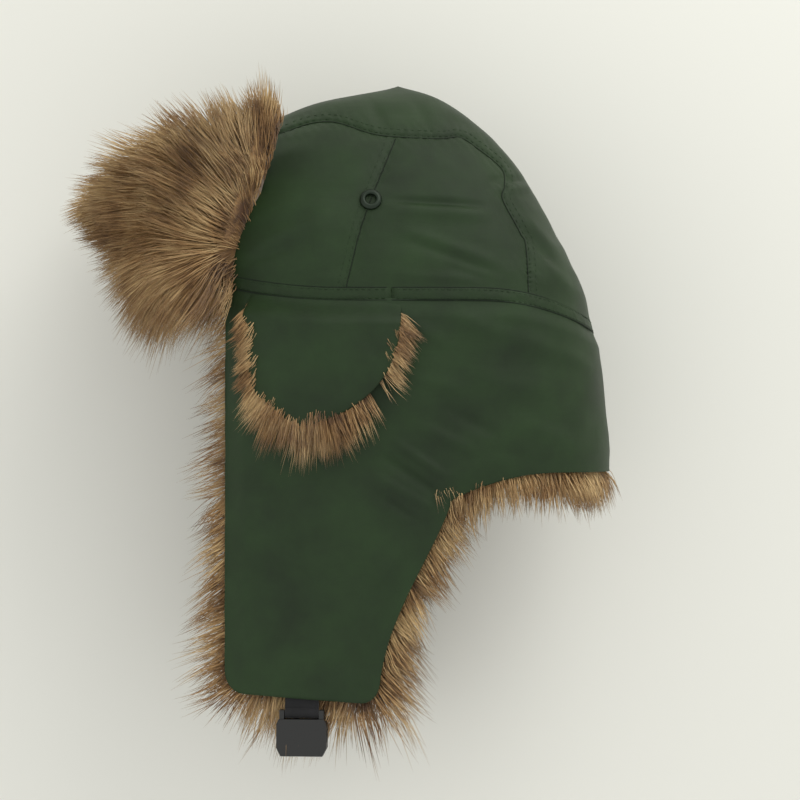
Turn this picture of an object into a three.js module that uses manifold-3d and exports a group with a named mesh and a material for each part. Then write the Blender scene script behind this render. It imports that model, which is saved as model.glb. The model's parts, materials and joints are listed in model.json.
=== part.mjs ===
// A trapper hat: a padded nylon crown of five panels, fur-faced front flap, ear flaps and neck guard, two ear
// covers, and a side-release chin buckle on two short webbing straps.
// Millimetres, as it is worn. +Z is up, -Y is the front and +X is the wearer's left. The origin is the middle of
// the head opening, at the height of the crown seam over the ears.

import * as THREE from "three";
import { mergeVertices } from "three/addons/utils/BufferGeometryUtils.js";
import Module from "manifold-3d";

const wasm = await Module();
wasm.setup();

// ---- driving dimensions ----

const gap = 0.3; // between pieces that touch
const pileGap = 1.4; // between cloth or wadding and the pile sewn to it
const cloth = 1.2; // seamed nylon or lining

const crown = {
  halfWidth: 90,
  halfLength: 123.5,
  centreY: -2.5,
  peakY: 1,
  height: 131,
  squareness: 2.5, // exponent of the plan outline: 2 is an ellipse
  browFullness: 2.45, // exponent of the upright profile at the brow
  napeFullness: 1.15, // and at the nape, where the crown slopes straight in
  batting: 8,
  columns: 32,
  rows: 8,
};

// A place along the head, as a share of the crown's half-length forward (-) or back (+) of its middle.
const alongHead = (share) => crown.centreY + share * crown.halfLength;

const seam = { browStart: alongHead(-0.223), browRise: 16, napeStart: alongHead(0.425), napeDrop: 17 };

const band = { height: 7, proud: 0.6 };

const eyelet = {
  y: alongHead(-0.101),
  z: 0.458 * crown.height,
  flange: 6.5,
  barrel: 3.9,
  bore: 2.7,
  rim: 1.1,
  bevel: 1,
  facetRoom: 0.9,
  pocket: 3, // how deep the wadding is cut away behind it
  reach: 5, // how far its hole is cut past the cloth
  sides: 16,
};

const flap = {
  frontY: alongHead(-0.798),
  splitY: alongHead(0.287),
  length: 235,
  hemLift: 3,
  hemSlope: 0.07, // the hem falls this much for each millimetre back from its front corner
  rearTaper: 44, // the back edge comes forward this far below the neck guard
  taperStart: 0.47,
  taperPower: 1.3,
  cornerLength: 12,
  cornerRadius: 11,
  jawX: 0.8 * crown.halfWidth,
  flatten: 0.6,
  topDrop: 5.6, // room over the top edge for the inward swing
  batting: 5.6,
  pile: 17,
  pileTopDrop: 9,
  pileFront: 20,
  pileRear: 18,
  pileBottom: 12,
  pileFrontStart: 0.1,
  pileFrontFull: 0.25,
  pileRearStart: 0.59,
  pileRearFull: 0.72,
  frontLean: 0.35,
};

const neck = {
  hem: -102,
  notchDrop: 16,
  notchEndY: alongHead(0.75),
  flare: 11,
  tuck: 5,
  batting: 5.6,
  battingShare: 0.94,
  pile: 17,
  pileBelow: 14,
  splitGap: 1,
};

// A corner of the front flap's free edge, as shares of the crown's half-width, half-length and height.
const browCorner = (across, along, up) =>
  new THREE.Vector3(across * crown.halfWidth, alongHead(along), up * crown.height);

const brow = {
  standOff: 4,
  lift: 2,
  batting: 4,
  pile: 14,
  pileReach: 1.09, // the pile goes this far, as a share of the flap's height
  corner: browCorner(0.856, -0.595, 0.855),
  shoulder: browCorner(0.711, -1.032, 0.748),
  centre: browCorner(0, -1.405, 0.55),
};

const cover = {
  frontY: alongHead(-0.676),
  rearY: alongHead(0.045),
  tipY: alongHead(-0.409),
  length: 75,
  frontSquareness: 8,
  frontPower: 0.9,
  rearSquareness: 4,
  rearPower: 0.8,
  tipBlunt: 0.995,
  standOff: 3.2, // over the ear flap, with the two fastening patches between
  pile: 6.5,
  pileBeyond: 9,
  pileFull: 0.3,
  topDrop: 1.2,
};

const patch = { width: 16, height: 20, thickness: 1, tipRise: 12 };

const strap = {
  width: 20,
  thickness: 1.4,
  free: 9,
  tail: 10,
  bend: 1,
  y: (flap.frontY + flap.splitY - flap.rearTaper) / 2, // the middle of the hem
  depth: 2.9,
};

const bar = { radius: 1.5, sides: 16 };

const buckle = {
  width: strap.width + 10,
  thickness: 8,
  railThickness: 6,
  railWidth: 3,
  railCap: 1.8, // how far the rails stand over the bar
  neckLength: 3.5,
  socketLength: 22,
  chamfer: 5,
  shoulderDrop: 3,
  shoulderInset: 1.5,
  mouthWidth: strap.width + 2.6,
  mouthThickness: 5,
  mouthDepth: 16,
  windowLength: 8,
  windowStart: 8,
  plugBase: 7,
  plugFlare: 0.5,
  tongueWidth: 7,
  tongueThickness: 3.6,
  tongueChamfer: 1.5,
  armThickness: 4.2,
  armWidth: 2.4,
  armLength: 14.5,
  armPlay: 1.2, // the arm stands this far inside the mouth's side
  armHook: 3.4,
  padLength: 6,
  padSlope: 1.2,
  padRound: 2.4,
};

// ---- materials ----

const matte = (color, roughness) => new THREE.MeshStandardMaterial({ color, roughness, metalness: 0 });
const nylon = matte(0x3a5236, 0.62);
const liningCloth = matte(0x232321, 0.7);
const wadding = matte(0xe8e6e0, 0.95);
const fur = matte(0x7b5d3f, 0.9);
const webbing = matte(0x1c1d1e, 0.85);
const plastic = matte(0x2b2d2e, 0.5);
const hookAndLoop = matte(0x20241f, 0.95);
const paintedMetal = new THREE.MeshStandardMaterial({ color: 0x1b2a1d, roughness: 0.42, metalness: 0.6 });

// ---- geometry helpers ----

const lerp = THREE.MathUtils.lerp;
const steps = (count, from = 0, to = 1) => Array.from({ length: count + 1 }, (_, i) => lerp(from, to, i / count));

function signedVolume(positions) {
  const [a, b, c] = [new THREE.Vector3(), new THREE.Vector3(), new THREE.Vector3()];
  let sum = 0;
  for (let i = 0; i < positions.length; i += 9) {
    a.fromArray(positions, i);
    b.fromArray(positions, i + 3);
    c.fromArray(positions, i + 6);
    sum += a.dot(b.cross(c)) / 6;
  }
  return sum;
}

// A geometry from loose triangles, turned so that its faces point out.
function facingOut(positions) {
  if (signedVolume(positions) < 0) {
    for (let i = 0; i < positions.length; i += 9) {
      for (let k = 0; k < 3; k++) {
        [positions[i + 3 + k], positions[i + 6 + k]] = [positions[i + 6 + k], positions[i + 3 + k]];
      }
    }
  }
  const geometry = new THREE.BufferGeometry();
  geometry.setAttribute("position", new THREE.Float32BufferAttribute(positions, 3));
  geometry.computeVertexNormals();
  return geometry;
}

function mirrored(geometry) {
  const copy = (geometry.index ? geometry.toNonIndexed() : geometry.clone()).scale(-1, 1, 1);
  return facingOut(Array.from(copy.getAttribute("position").array));
}

// A closed solid between two depths of a surface. surface(u, v, depth) gives a point; a wrapped surface joins its
// last column to its first, and a last row that shrinks to a point closes there.
function layer(surface, columns, rows, outer, inner, wrapped = false) {
  const grids = [outer, inner].map((depth) => columns.map((u) => rows.map((v) => surface(u, v, depth))));
  const positions = [];
  const triangle = (...corners) => {
    const [a, b, c] = corners;
    if (a.distanceTo(b) < 1e-4 || b.distanceTo(c) < 1e-4 || c.distanceTo(a) < 1e-4) return;
    corners.forEach((p) => positions.push(p.x, p.y, p.z));
  };
  const quad = (a, b, c, d) => {
    triangle(a, b, c);
    triangle(a, c, d);
  };
  const across = wrapped ? columns.length : columns.length - 1;
  const last = rows.length - 1;
  for (let i = 0; i < across; i++) {
    const j = (i + 1) % columns.length;
    for (let k = 0; k < last; k++) {
      quad(grids[0][i][k], grids[0][j][k], grids[0][j][k + 1], grids[0][i][k + 1]);
      quad(grids[1][i][k], grids[1][i][k + 1], grids[1][j][k + 1], grids[1][j][k]);
    }
    quad(grids[1][i][0], grids[1][j][0], grids[0][j][0], grids[0][i][0]);
    quad(grids[0][i][last], grids[0][j][last], grids[1][j][last], grids[1][i][last]);
  }
  if (!wrapped) {
    const end = columns.length - 1;
    for (let k = 0; k < last; k++) {
      quad(grids[0][0][k], grids[0][0][k + 1], grids[1][0][k + 1], grids[1][0][k]);
      quad(grids[1][end][k], grids[1][end][k + 1], grids[0][end][k + 1], grids[0][end][k]);
    }
  }
  return facingOut(positions);
}

// The unit normal of place(u, v), by short differences that stay between u = 0 and u = 1.
function normalAt(place, u, v) {
  const e = 1e-3;
  const alongU = place(Math.min(1, u + e), v).sub(place(Math.max(0, u - e), v));
  const alongV = place(u, v + e).sub(place(u, v - e));
  return alongU.cross(alongV).normalize();
}

// place(u, v) pushed in by a depth; inward is +1 or -1, whichever turns the normal that way.
const pushed = (place, inward) => (u, v, depth) =>
  place(u, v).addScaledVector(normalAt(place, u, v), inward * depth);

function solid(geometry) {
  const bare = geometry.clone();
  bare.deleteAttribute("normal");
  bare.deleteAttribute("uv");
  const merged = mergeVertices(bare, 1e-4);
  const triVerts = new Uint32Array(merged.index.array);
  const vertProperties = new Float32Array(merged.getAttribute("position").array);
  return new wasm.Manifold(new wasm.Mesh({ numProp: 3, vertProperties, triVerts }));
}

function geometryOf(manifold) {
  const mesh = manifold.getMesh();
  const geometry = new THREE.BufferGeometry();
  geometry.setAttribute("position", new THREE.Float32BufferAttribute(mesh.vertProperties, 3));
  geometry.setIndex(new THREE.Uint32BufferAttribute(mesh.triVerts, 1));
  const loose = geometry.toNonIndexed();
  loose.computeVertexNormals();
  return loose;
}

// An outline drawn in side view, as [y, z] points, extruded along X from one x to the other.
function sideExtrusion(outline, fromX, toX, holes = []) {
  const shape = new THREE.Shape(outline.map(([y, z]) => new THREE.Vector2(y, z)));
  shape.holes = holes;
  const geometry = new THREE.ExtrudeGeometry(shape, { depth: toX - fromX, bevelEnabled: false });
  geometry.translate(0, 0, fromX);
  const turn = new THREE.Matrix4().makeBasis(
    new THREE.Vector3(0, 1, 0),
    new THREE.Vector3(0, 0, 1),
    new THREE.Vector3(1, 0, 0),
  );
  return geometry.applyMatrix4(turn);
}

const block = (thickness, width, height, x, y, z) =>
  new THREE.BoxGeometry(thickness, width, height).translate(x, y, z);

function mesh(name, geometry, material) {
  const made = new THREE.Mesh(geometry, material);
  made.name = name;
  return made;
}

// ---- crown ----

const browY = crown.centreY - crown.halfLength;
const napeY = crown.centreY + crown.halfLength;

function seamHeight(y) {
  const towardsBrow = Math.max(0, (seam.browStart - y) / (seam.browStart - browY));
  const towardsNape = Math.max(0, (y - seam.napeStart) / (napeY - seam.napeStart));
  return seam.browRise * towardsBrow ** 2 - seam.napeDrop * towardsNape ** 2;
}

// The plan outline of the crown, angle 0 over the left ear and a quarter turn at the nape.
function planPoint(angle, depth) {
  const power = 2 / crown.squareness;
  const round = (value) => Math.sign(value) * Math.abs(value) ** power;
  const x = (crown.halfWidth - depth) * round(Math.cos(angle));
  return new THREE.Vector2(x, crown.centreY + (crown.halfLength - depth) * round(Math.sin(angle)));
}

// The half-width of the crown seam at a given y.
function planX(y) {
  const share = Math.min(1, Math.abs((y - crown.centreY) / crown.halfLength));
  return crown.halfWidth * (1 - share ** crown.squareness) ** (1 / crown.squareness);
}

const planAngle = (y) => {
  const share = Math.min(1, Math.abs((y - crown.centreY) / crown.halfLength));
  return Math.sign(y - crown.centreY) * Math.asin(share ** (crown.squareness / 2));
};

// A point of the crown. climb runs from 0, at some height over the seam, to 1 at the peak.
function crownPoint(angle, climb, depth, overSeam) {
  const plan = planPoint(angle, depth);
  const base = seamHeight(plan.y);
  const top = crown.height - depth;
  const rearward = (plan.y - crown.centreY) / crown.halfLength;
  const fullness = lerp(crown.browFullness, crown.napeFullness, (rearward + 1) / 2);
  const start = Math.asin((overSeam / (top - base)) ** (fullness / 2));
  const lean = lerp(start, Math.PI / 2, climb);
  const shrink = Math.max(0, Math.cos(lean));
  const z = base + (top - base) * Math.sin(lean) ** (2 / fullness);
  return new THREE.Vector3(plan.x * shrink, lerp(crown.peakY, plan.y, shrink), z);
}

const roundTheHead = steps(crown.columns, 0, 2 * Math.PI).slice(0, -1);

// One layer of the crown from over the band to the peak, or from the seam when it also backs the band.
function crownLayer(outer, inner, fromSeam) {
  const overBand = band.height + gap;
  const surface = (u, v, depth) => (v < 0 ? crownPoint(u, 0, depth, gap) : crownPoint(u, v, depth, overBand));
  const rows = fromSeam ? [-1, ...steps(crown.rows)] : steps(crown.rows);
  return layer(surface, roundTheHead, rows, outer, inner, true);
}

function bandRing() {
  const surface = (u, v, depth) => crownPoint(u, 0, depth, v * band.height);
  return layer(surface, roundTheHead, [0, 1], -band.proud, cloth, true);
}

// A point in side view, as shares of the crown's half-length and height.
const onCrown = ([along, up]) => new THREE.Vector2(alongHead(along), up * crown.height);

// The seam between the long top panel and the side panels, from under the front flap to the nape.
const topSeam = new THREE.SplineCurve(
  [
    [-0.943, -0.23], [-0.919, 0.267], [-0.773, 0.656], [-0.506, 0.8], [-0.304, 0.84], [-0.069, 0.771],
    [0.223, 0.756], [0.409, 0.725], [0.538, 0.626], [0.538, 0.473], [0.636, 0.275], [0.66, -0.23],
  ].map(onCrown),
);

// The upright seam between the front and rear side panels, through the vent eyelet.
const sideSeam = new THREE.SplineCurve([
  ...[[0.061, 0.916], [0.02, 0.756], [-0.045, 0.595]].map(onCrown),
  new THREE.Vector2(eyelet.y, eyelet.z),
  ...[[-0.158, 0.29], [-0.231, 0], [-0.255, -0.23]].map(onCrown),
]);

const points = (curve, count) => curve.getPoints(count).map((p) => [p.x, p.y]);

// A thin wall along a side-view curve, which parts the panels by the gap.
function seamWall(curve, count, fromX, toX) {
  const side = (sign) =>
    steps(count).map((t) => {
      const p = curve.getPoint(t);
      const along = curve.getTangent(t);
      return [p.x - (sign * along.y * gap) / 2, p.y + (sign * along.x * gap) / 2];
    });
  return solid(sideExtrusion([...side(1), ...side(-1).reverse()], fromX, toX));
}

// How the eyelet sits: its place on the left side of the crown and the way it faces.
function eyeletSeat() {
  const onSide = (y, z) => {
    let [near, far] = [0, crown.halfWidth];
    const rise = (z - seamHeight(y)) / (crown.height - seamHeight(y));
    const rearward = (y - crown.centreY) / crown.halfLength;
    const fullness = lerp(crown.browFullness, crown.napeFullness, (rearward + 1) / 2);
    const shrink = Math.sqrt(1 - rise ** fullness);
    for (let i = 0; i < 40; i++) {
      const middle = (near + far) / 2;
      if (planX(crown.peakY + (y - crown.peakY) / shrink) * shrink > middle) near = middle;
      else far = middle;
    }
    return new THREE.Vector3(near, y, z);
  };
  const normal = normalAt((u, v) => onSide(eyelet.y + u, eyelet.z + v), 0, 0);
  return { at: onSide(eyelet.y, eyelet.z), normal };
}

function seated(geometry, seat) {
  const turn = new THREE.Quaternion().setFromUnitVectors(new THREE.Vector3(0, 0, 1), seat.normal);
  return geometry.applyQuaternion(turn).translate(seat.at.x, seat.at.y, seat.at.z);
}

function disc(radius, from, to) {
  const cylinder = new THREE.CylinderGeometry(radius, radius, to - from, eyelet.sides);
  return cylinder.rotateX(Math.PI / 2).translate(0, 0, (from + to) / 2);
}

// A ring from a closed profile of [radius, height] points, round Z.
function ring(profile) {
  const closed = [...profile, profile[0]].map(([r, h]) => new THREE.Vector2(r, h));
  return new THREE.LatheGeometry(closed, eyelet.sides).rotateX(Math.PI / 2);
}

function eyeletRing() {
  const under = gap;
  const top = under + eyelet.rim;
  const foot = -(cloth + eyelet.facetRoom + 2 * gap + eyelet.rim);
  return ring([
    [eyelet.bore, foot],
    [eyelet.barrel, foot],
    [eyelet.barrel, under],
    [eyelet.flange, under],
    [eyelet.flange - eyelet.bevel, top],
    [eyelet.bore + eyelet.bevel, top],
    [eyelet.bore, under],
  ]);
}

function washerRing() {
  const top = -(cloth + eyelet.facetRoom + gap);
  const hole = eyelet.barrel + gap;
  return ring([
    [hole, top - eyelet.rim],
    [eyelet.flange, top - eyelet.rim],
    [eyelet.flange, top],
    [hole, top],
  ]);
}

function crownPieces() {
  const far = crown.halfWidth + eyelet.reach;
  const seat = eyeletSeat();
  const eyeletHole = seated(disc(eyelet.barrel + gap, -eyelet.pocket, eyelet.reach), seat);
  const pocketDepth = cloth + 2 * gap + eyelet.pocket;
  const pocket = seated(disc(eyelet.flange + eyelet.bevel, -pocketDepth, eyelet.reach), seat);

  const seamSteps = 22;
  const holes = solid(eyeletHole).add(solid(mirrored(eyeletHole)));
  const shell = solid(crownLayer(0, cloth, false)).subtract(seamWall(topSeam, seamSteps, -far, far));

  const [seamFoot, seamHead] = [-0.23, 0.92].map((share) => share * crown.height);
  const inFront = [...points(sideSeam, seamSteps), [2 * browY, seamFoot], [2 * browY, seamHead]];
  const sideBlock = (from, to) => solid(sideExtrusion(points(topSeam, seamSteps), from, to));
  const frontBlock = solid(sideExtrusion(inFront, -far, far));
  const parted = shell.subtract(seamWall(sideSeam, seamSteps, -far, far)).subtract(holes);
  const left = parted.intersect(sideBlock(gap, far));
  const right = parted.intersect(sideBlock(-far, -gap));
  const top = shell.subtract(sideBlock(-far, far));

  const batting = solid(crownLayer(cloth + gap, cloth + gap + crown.batting, true))
    .subtract(solid(pocket))
    .subtract(solid(mirrored(pocket)));
  const liningDepth = cloth + crown.batting + 2 * gap;

  return [
    mesh("crown_top_panel", geometryOf(top), nylon),
    mesh("crown_left_front_panel", geometryOf(left.intersect(frontBlock)), nylon),
    mesh("crown_left_rear_panel", geometryOf(left.subtract(frontBlock)), nylon),
    mesh("crown_right_front_panel", geometryOf(right.intersect(frontBlock)), nylon),
    mesh("crown_right_rear_panel", geometryOf(right.subtract(frontBlock)), nylon),
    mesh("crown_band", bandRing(), nylon),
    mesh("crown_batting", geometryOf(batting), wadding),
    mesh("crown_lining", crownLayer(liningDepth, liningDepth + cloth, true), liningCloth),
    mesh("left_vent_eyelet", seated(eyeletRing(), seat), paintedMetal),
    mesh("right_vent_eyelet", mirrored(seated(eyeletRing(), seat)), paintedMetal),
    mesh("left_eyelet_washer", seated(washerRing(), seat), paintedMetal),
    mesh("right_eyelet_washer", mirrored(seated(washerRing(), seat)), paintedMetal),
  ];
}

// ---- ear flaps ----

// How far a rounded bottom corner has come in, at a share of the flap's length.
function cornerInset(v) {
  const start = 1 - flap.cornerLength / flap.length;
  const into = THREE.MathUtils.clamp((v - start) / (1 - start), 0, 1);
  return flap.cornerRadius * (1 - Math.sqrt(1 - into ** 2));
}

function rearTaper(v) {
  const below = THREE.MathUtils.clamp((v - flap.taperStart) / (1 - flap.taperStart), 0, 1);
  return flap.rearTaper * Math.sin((below * Math.PI) / 2) ** flap.taperPower;
}

const flapHem = (y) => flap.hemLift - flap.length - flap.hemSlope * (y - flap.frontY);

// The left flap's outer face at a side-view point. In front of its edge it runs on straight, a little inwards.
function flapSkin(y, z) {
  const onFlap = Math.max(y, flap.frontY);
  const fall = THREE.MathUtils.smoothstep((seamHeight(onFlap) - z) / flap.length, 0, 1);
  const x = lerp(planX(onFlap), flap.jawX, fall * flap.flatten);
  return new THREE.Vector3(x - flap.frontLean * (onFlap - y), y, z);
}

// The unit vector into the left flap from its outer face.
function flapInward(y, z) {
  const e = 0.01;
  const onFlap = Math.max(y, flap.frontY + e);
  const overY = flapSkin(onFlap + e, z).x - flapSkin(onFlap - e, z).x;
  const overZ = flapSkin(onFlap, z + e).x - flapSkin(onFlap, z - e).x;
  return new THREE.Vector3(-1, overY / (2 * e), overZ / (2 * e)).normalize();
}

// A surface on the left side of the hat from its side-view outline, which gives [y, z] at (u, v).
const onLeftSide = (outline) => (u, v, depth) => {
  const [y, z] = outline(u, v);
  return flapSkin(y, z).addScaledVector(flapInward(y, z), depth);
};

function flapOutline(u, v) {
  const y = lerp(flap.frontY + cornerInset(v), flap.splitY - rearTaper(v) - cornerInset(v), u);
  return [y, lerp(seamHeight(y) - flap.topDrop, flapHem(y), v)];
}

// The pile stands out past the front edge, the hem, and the back edge below the neck guard.
function flapPileOutline(u, v) {
  const forward = THREE.MathUtils.smoothstep(v, flap.pileFrontStart, flap.pileFrontFull);
  const back = THREE.MathUtils.smoothstep(v, flap.pileRearStart, flap.pileRearFull);
  const front = flap.frontY - flap.pileFront * forward + cornerInset(v);
  const rear = flap.splitY - rearTaper(v) + flap.pileRear * back - cornerInset(v);
  const y = lerp(front, rear, u);
  const top = seamHeight(Math.max(y, flap.frontY)) - flap.pileTopDrop;
  return [y, lerp(top, flapHem(y) - flap.pileBottom, v)];
}

const cornerStart = 1 - flap.cornerLength / flap.length;
const flapRows = [...steps(9, 0, cornerStart), ...[0.4, 0.75, 1].map((s) => lerp(cornerStart, 1, s))];

// A patch of hook or loop tape that follows the left flap, standing off its face.
function tapeAt(centreY, centreZ, from) {
  const outline = (u, v) => [centreY + (u - 0.5) * patch.width, centreZ - (v - 0.5) * patch.height];
  return layer(onLeftSide(outline), steps(2), steps(1), -from, -(from + patch.thickness));
}

// ---- ear covers ----

// The left cover's outline: straight sides from the crown seam, closing on a tip that is nearer the front.
function coverOutline(beyond) {
  return (u, v) => {
    const fall = Math.min(v, cover.tipBlunt);
    const past = beyond * THREE.MathUtils.smoothstep(v, 0, cover.pileFull);
    const front = (1 - fall ** cover.frontSquareness) ** cover.frontPower;
    const rear = (1 - fall ** cover.rearSquareness) ** cover.rearPower;
    const frontY = cover.tipY - (cover.tipY - cover.frontY + past) * front;
    const rearY = cover.tipY + (cover.rearY - cover.tipY + past) * rear;
    const y = lerp(frontY, rearY, u);
    return [y, seamHeight(y) - lerp(cover.topDrop, cover.length + beyond, v)];
  };
}

const coverRows = [0, 0.3, 0.55, 0.75, 0.88, 0.96, 1];

const coverLayer = (beyond, from, to) => layer(onLeftSide(coverOutline(beyond)), steps(8), coverRows, -to, -from);

// ---- straps and buckle halves, each drawn about its own bar, hanging down ----

// Doubled webbing in edge view, as [x, z] points: a loop round the bar and two plies up to the hem.
function strapGeometry() {
  const reach = bar.radius + gap + strap.thickness;
  const top = strap.free;
  const join = Math.asin(strap.thickness / reach);
  const shape = new THREE.Shape();
  shape.moveTo(-strap.thickness, top);
  shape.lineTo(-strap.thickness, reach * Math.cos(join));
  shape.absarc(0, 0, reach, Math.PI / 2 + join, Math.PI / 2 - join + 2 * Math.PI, false);
  shape.lineTo(strap.thickness, top);
  const hole = new THREE.Path();
  hole.absarc(0, 0, bar.radius + gap, 0, 2 * Math.PI, false);
  shape.holes.push(hole);
  const geometry = new THREE.ExtrudeGeometry(shape, { depth: strap.width, bevelEnabled: false, curveSegments: 8 });
  return geometry.translate(0, 0, -strap.width / 2).rotateX(Math.PI / 2);
}

const barGeometry = (length) => new THREE.CylinderGeometry(bar.radius, bar.radius, length, bar.sides);

// The two rails that hold a half's bar, over its body.
function barFrame() {
  const inner = strap.width / 2 + gap;
  const height = buckle.neckLength + buckle.railCap + gap;
  const middleZ = buckle.railCap - height / 2;
  const railAt = (y) => solid(block(buckle.railThickness, buckle.railWidth, height, 0, y, middleZ));
  const rail = (side) => railAt(side * (inner + buckle.railWidth / 2));
  return rail(1)
    .add(rail(-1))
    .add(solid(barGeometry(2 * inner + buckle.railWidth)));
}

// An outline drawn for its +Y half, as [y, z] points from the top down, closed with its own mirror.
const symmetric = (half) => [...half.map(([y, z]) => [-y, z]), ...half.toReversed()];

function socketGeometry() {
  const half = buckle.width / 2;
  const top = -buckle.neckLength;
  const foot = top - buckle.socketLength;
  const outline = symmetric([
    [half - buckle.shoulderInset, top],
    [half, top - buckle.shoulderDrop],
    [half, foot + buckle.chamfer],
    [half - buckle.chamfer / 2, foot],
  ]);
  const past = 1; // the mouth's cutter runs this far out of the foot
  const mouthHeight = buckle.mouthDepth + past;
  const mouthZ = foot - past + mouthHeight / 2;
  const mouth = block(buckle.mouthThickness, buckle.mouthWidth, mouthHeight, 0, 0, mouthZ);
  const windowZ = foot + buckle.windowStart + buckle.windowLength / 2;
  const windows = block(buckle.mouthThickness, buckle.width + past, buckle.windowLength, 0, 0, windowZ);
  const body = solid(sideExtrusion(outline, -buckle.thickness / 2, buckle.thickness / 2));
  return geometryOf(body.subtract(solid(mouth)).subtract(solid(windows)).add(barFrame()));
}

const plugTop = -buckle.neckLength - buckle.plugBase;
const armFoot = plugTop - buckle.armLength;

function plugGeometry() {
  const half = buckle.width / 2;
  const outline = symmetric([[half - buckle.plugFlare, -buckle.neckLength], [half, plugTop]]);
  const base = sideExtrusion(outline, -buckle.thickness / 2, buckle.thickness / 2);
  const w = buckle.tongueWidth / 2;
  const blunt = buckle.tongueChamfer;
  const tongue = sideExtrusion(
    symmetric([[w, plugTop + blunt], [w, armFoot + blunt], [w - blunt, armFoot]]),
    -buckle.tongueThickness / 2,
    buckle.tongueThickness / 2,
  );
  return geometryOf(solid(base).add(solid(tongue)).add(barFrame()));
}

// The sprung arm on the +Y side of the plug: a leaf with a hooked press pad at its end.
function plugArmGeometry() {
  const outside = buckle.mouthWidth / 2 - buckle.armPlay;
  const inside = outside - buckle.armWidth;
  const padTop = armFoot + buckle.padLength;
  return sideExtrusion(
    [
      [inside, plugTop - gap],
      [inside, armFoot + buckle.padRound],
      [inside + 1, armFoot],
      [outside + buckle.armHook / 2, armFoot + buckle.padRound],
      [outside + buckle.armHook, padTop],
      [outside, padTop + buckle.padSlope],
      [outside, plugTop - gap],
    ],
    -buckle.armThickness / 2,
    buckle.armThickness / 2,
  );
}

// The group at a flap's hem that its strap and buckle half hang in, its origin at the bar.
function hemGroup(side, children) {
  const hem = flapHem(strap.y);
  const inward = flapInward(strap.y, hem);
  const at = flapSkin(strap.y, hem).addScaledVector(inward, strap.depth);
  const group = new THREE.Group();
  group.position.set(side * at.x, at.y, hem - gap - strap.free);
  group.rotation.z = side * Math.atan2(-inward.y, -inward.x);
  group.add(...children);
  return group;
}

// ---- one side of the hat ----

function sidePieces(name, side) {
  const sided = (geometry) => (side > 0 ? geometry : mirrored(geometry));
  const skin = onLeftSide(flapOutline);
  const columns = steps(12);
  const battingRows = steps(9, 0, 1 - (strap.tail + strap.bend + 2 * gap) / flap.length);
  const battingDepth = cloth + gap;
  const pileDepth = battingDepth + flap.batting + pileGap;
  const coverDepth = cover.standOff + cover.pile + pileGap;
  const tapeZ = patch.tipRise - cover.length;
  const batting = layer(skin, columns, battingRows, battingDepth, battingDepth + flap.batting);
  const pile = layer(onLeftSide(flapPileOutline), columns, flapRows, pileDepth, pileDepth + flap.pile);
  const coverPile = coverLayer(cover.pileBeyond, cover.standOff, cover.standOff + cover.pile);
  return [
    mesh(name + "_flap_shell", sided(layer(skin, columns, flapRows, 0, cloth)), nylon),
    mesh(name + "_flap_batting", sided(batting), wadding),
    mesh(name + "_flap_fur", sided(pile), fur),
    mesh(name + "_hook_patch", sided(tapeAt(cover.tipY, tapeZ, gap)), hookAndLoop),
    mesh(name + "_loop_patch", sided(tapeAt(cover.tipY, tapeZ, 2 * gap + patch.thickness)), hookAndLoop),
    mesh(name + "_cover_fur", sided(coverPile), fur),
    mesh(name + "_cover_shell", sided(coverLayer(0, coverDepth, coverDepth + cloth)), nylon),
    hemGroup(side, [
      mesh(name + "_strap_webbing", strapGeometry(), webbing),
      mesh(
        name + "_strap_tail",
        block(2 * strap.thickness, strap.width, strap.tail, 0, 0, strap.free + strap.bend + strap.tail / 2),
        webbing,
      ),
      ...(side > 0
        ? [mesh("buckle_socket", socketGeometry(), plastic)]
        : [
            mesh("buckle_plug", plugGeometry(), plastic),
            mesh("plug_rear_arm", plugArmGeometry(), plastic),
            mesh("plug_front_arm", plugArmGeometry().rotateZ(Math.PI), plastic),
          ]),
    ]),
  ];
}

// ---- neck guard ----

function neckPieces() {
  const startY = flap.splitY + neck.splitGap;
  const start = planAngle(startY);
  const place = (u, v) => {
    const plan = planPoint(lerp(start, Math.PI - start, u), 0);
    const back = (plan.y - startY) / (napeY - startY);
    const shrink = 1 - (neck.tuck / crown.halfWidth) * v * (1 - back);
    const y = plan.y + neck.flare * v * back;
    const notch = Math.max(0, (neck.notchEndY - plan.y) / (neck.notchEndY - flap.splitY));
    const z = lerp(seamHeight(plan.y) - gap, neck.hem - neck.notchDrop * notch ** 2, v);
    return new THREE.Vector3(plan.x * shrink, y, z);
  };
  const inwards = pushed(place, 1);
  const surface = (u, v, depth) => {
    const p = inwards(u, v, depth);
    return new THREE.Vector3(p.x, Math.max(p.y, startY), p.z);
  };
  const rows = steps(3);
  const columns = steps(16);
  const pileDepth = cloth + gap + neck.batting + pileGap;
  const fallBeyond = 1 + neck.pileBelow / -neck.hem;
  return [
    mesh("neck_guard_shell", layer(surface, columns, rows, 0, cloth), nylon),
    mesh(
      "neck_guard_batting",
      layer(surface, columns, steps(3, 0, neck.battingShare), cloth + gap, cloth + gap + neck.batting),
      wadding,
    ),
    mesh(
      "neck_guard_fur",
      layer(surface, columns, steps(3, 0, fallBeyond), pileDepth, pileDepth + neck.pile),
      fur,
    ),
  ];
}

// ---- front flap, turned up against the crown with its fur outside ----

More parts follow.
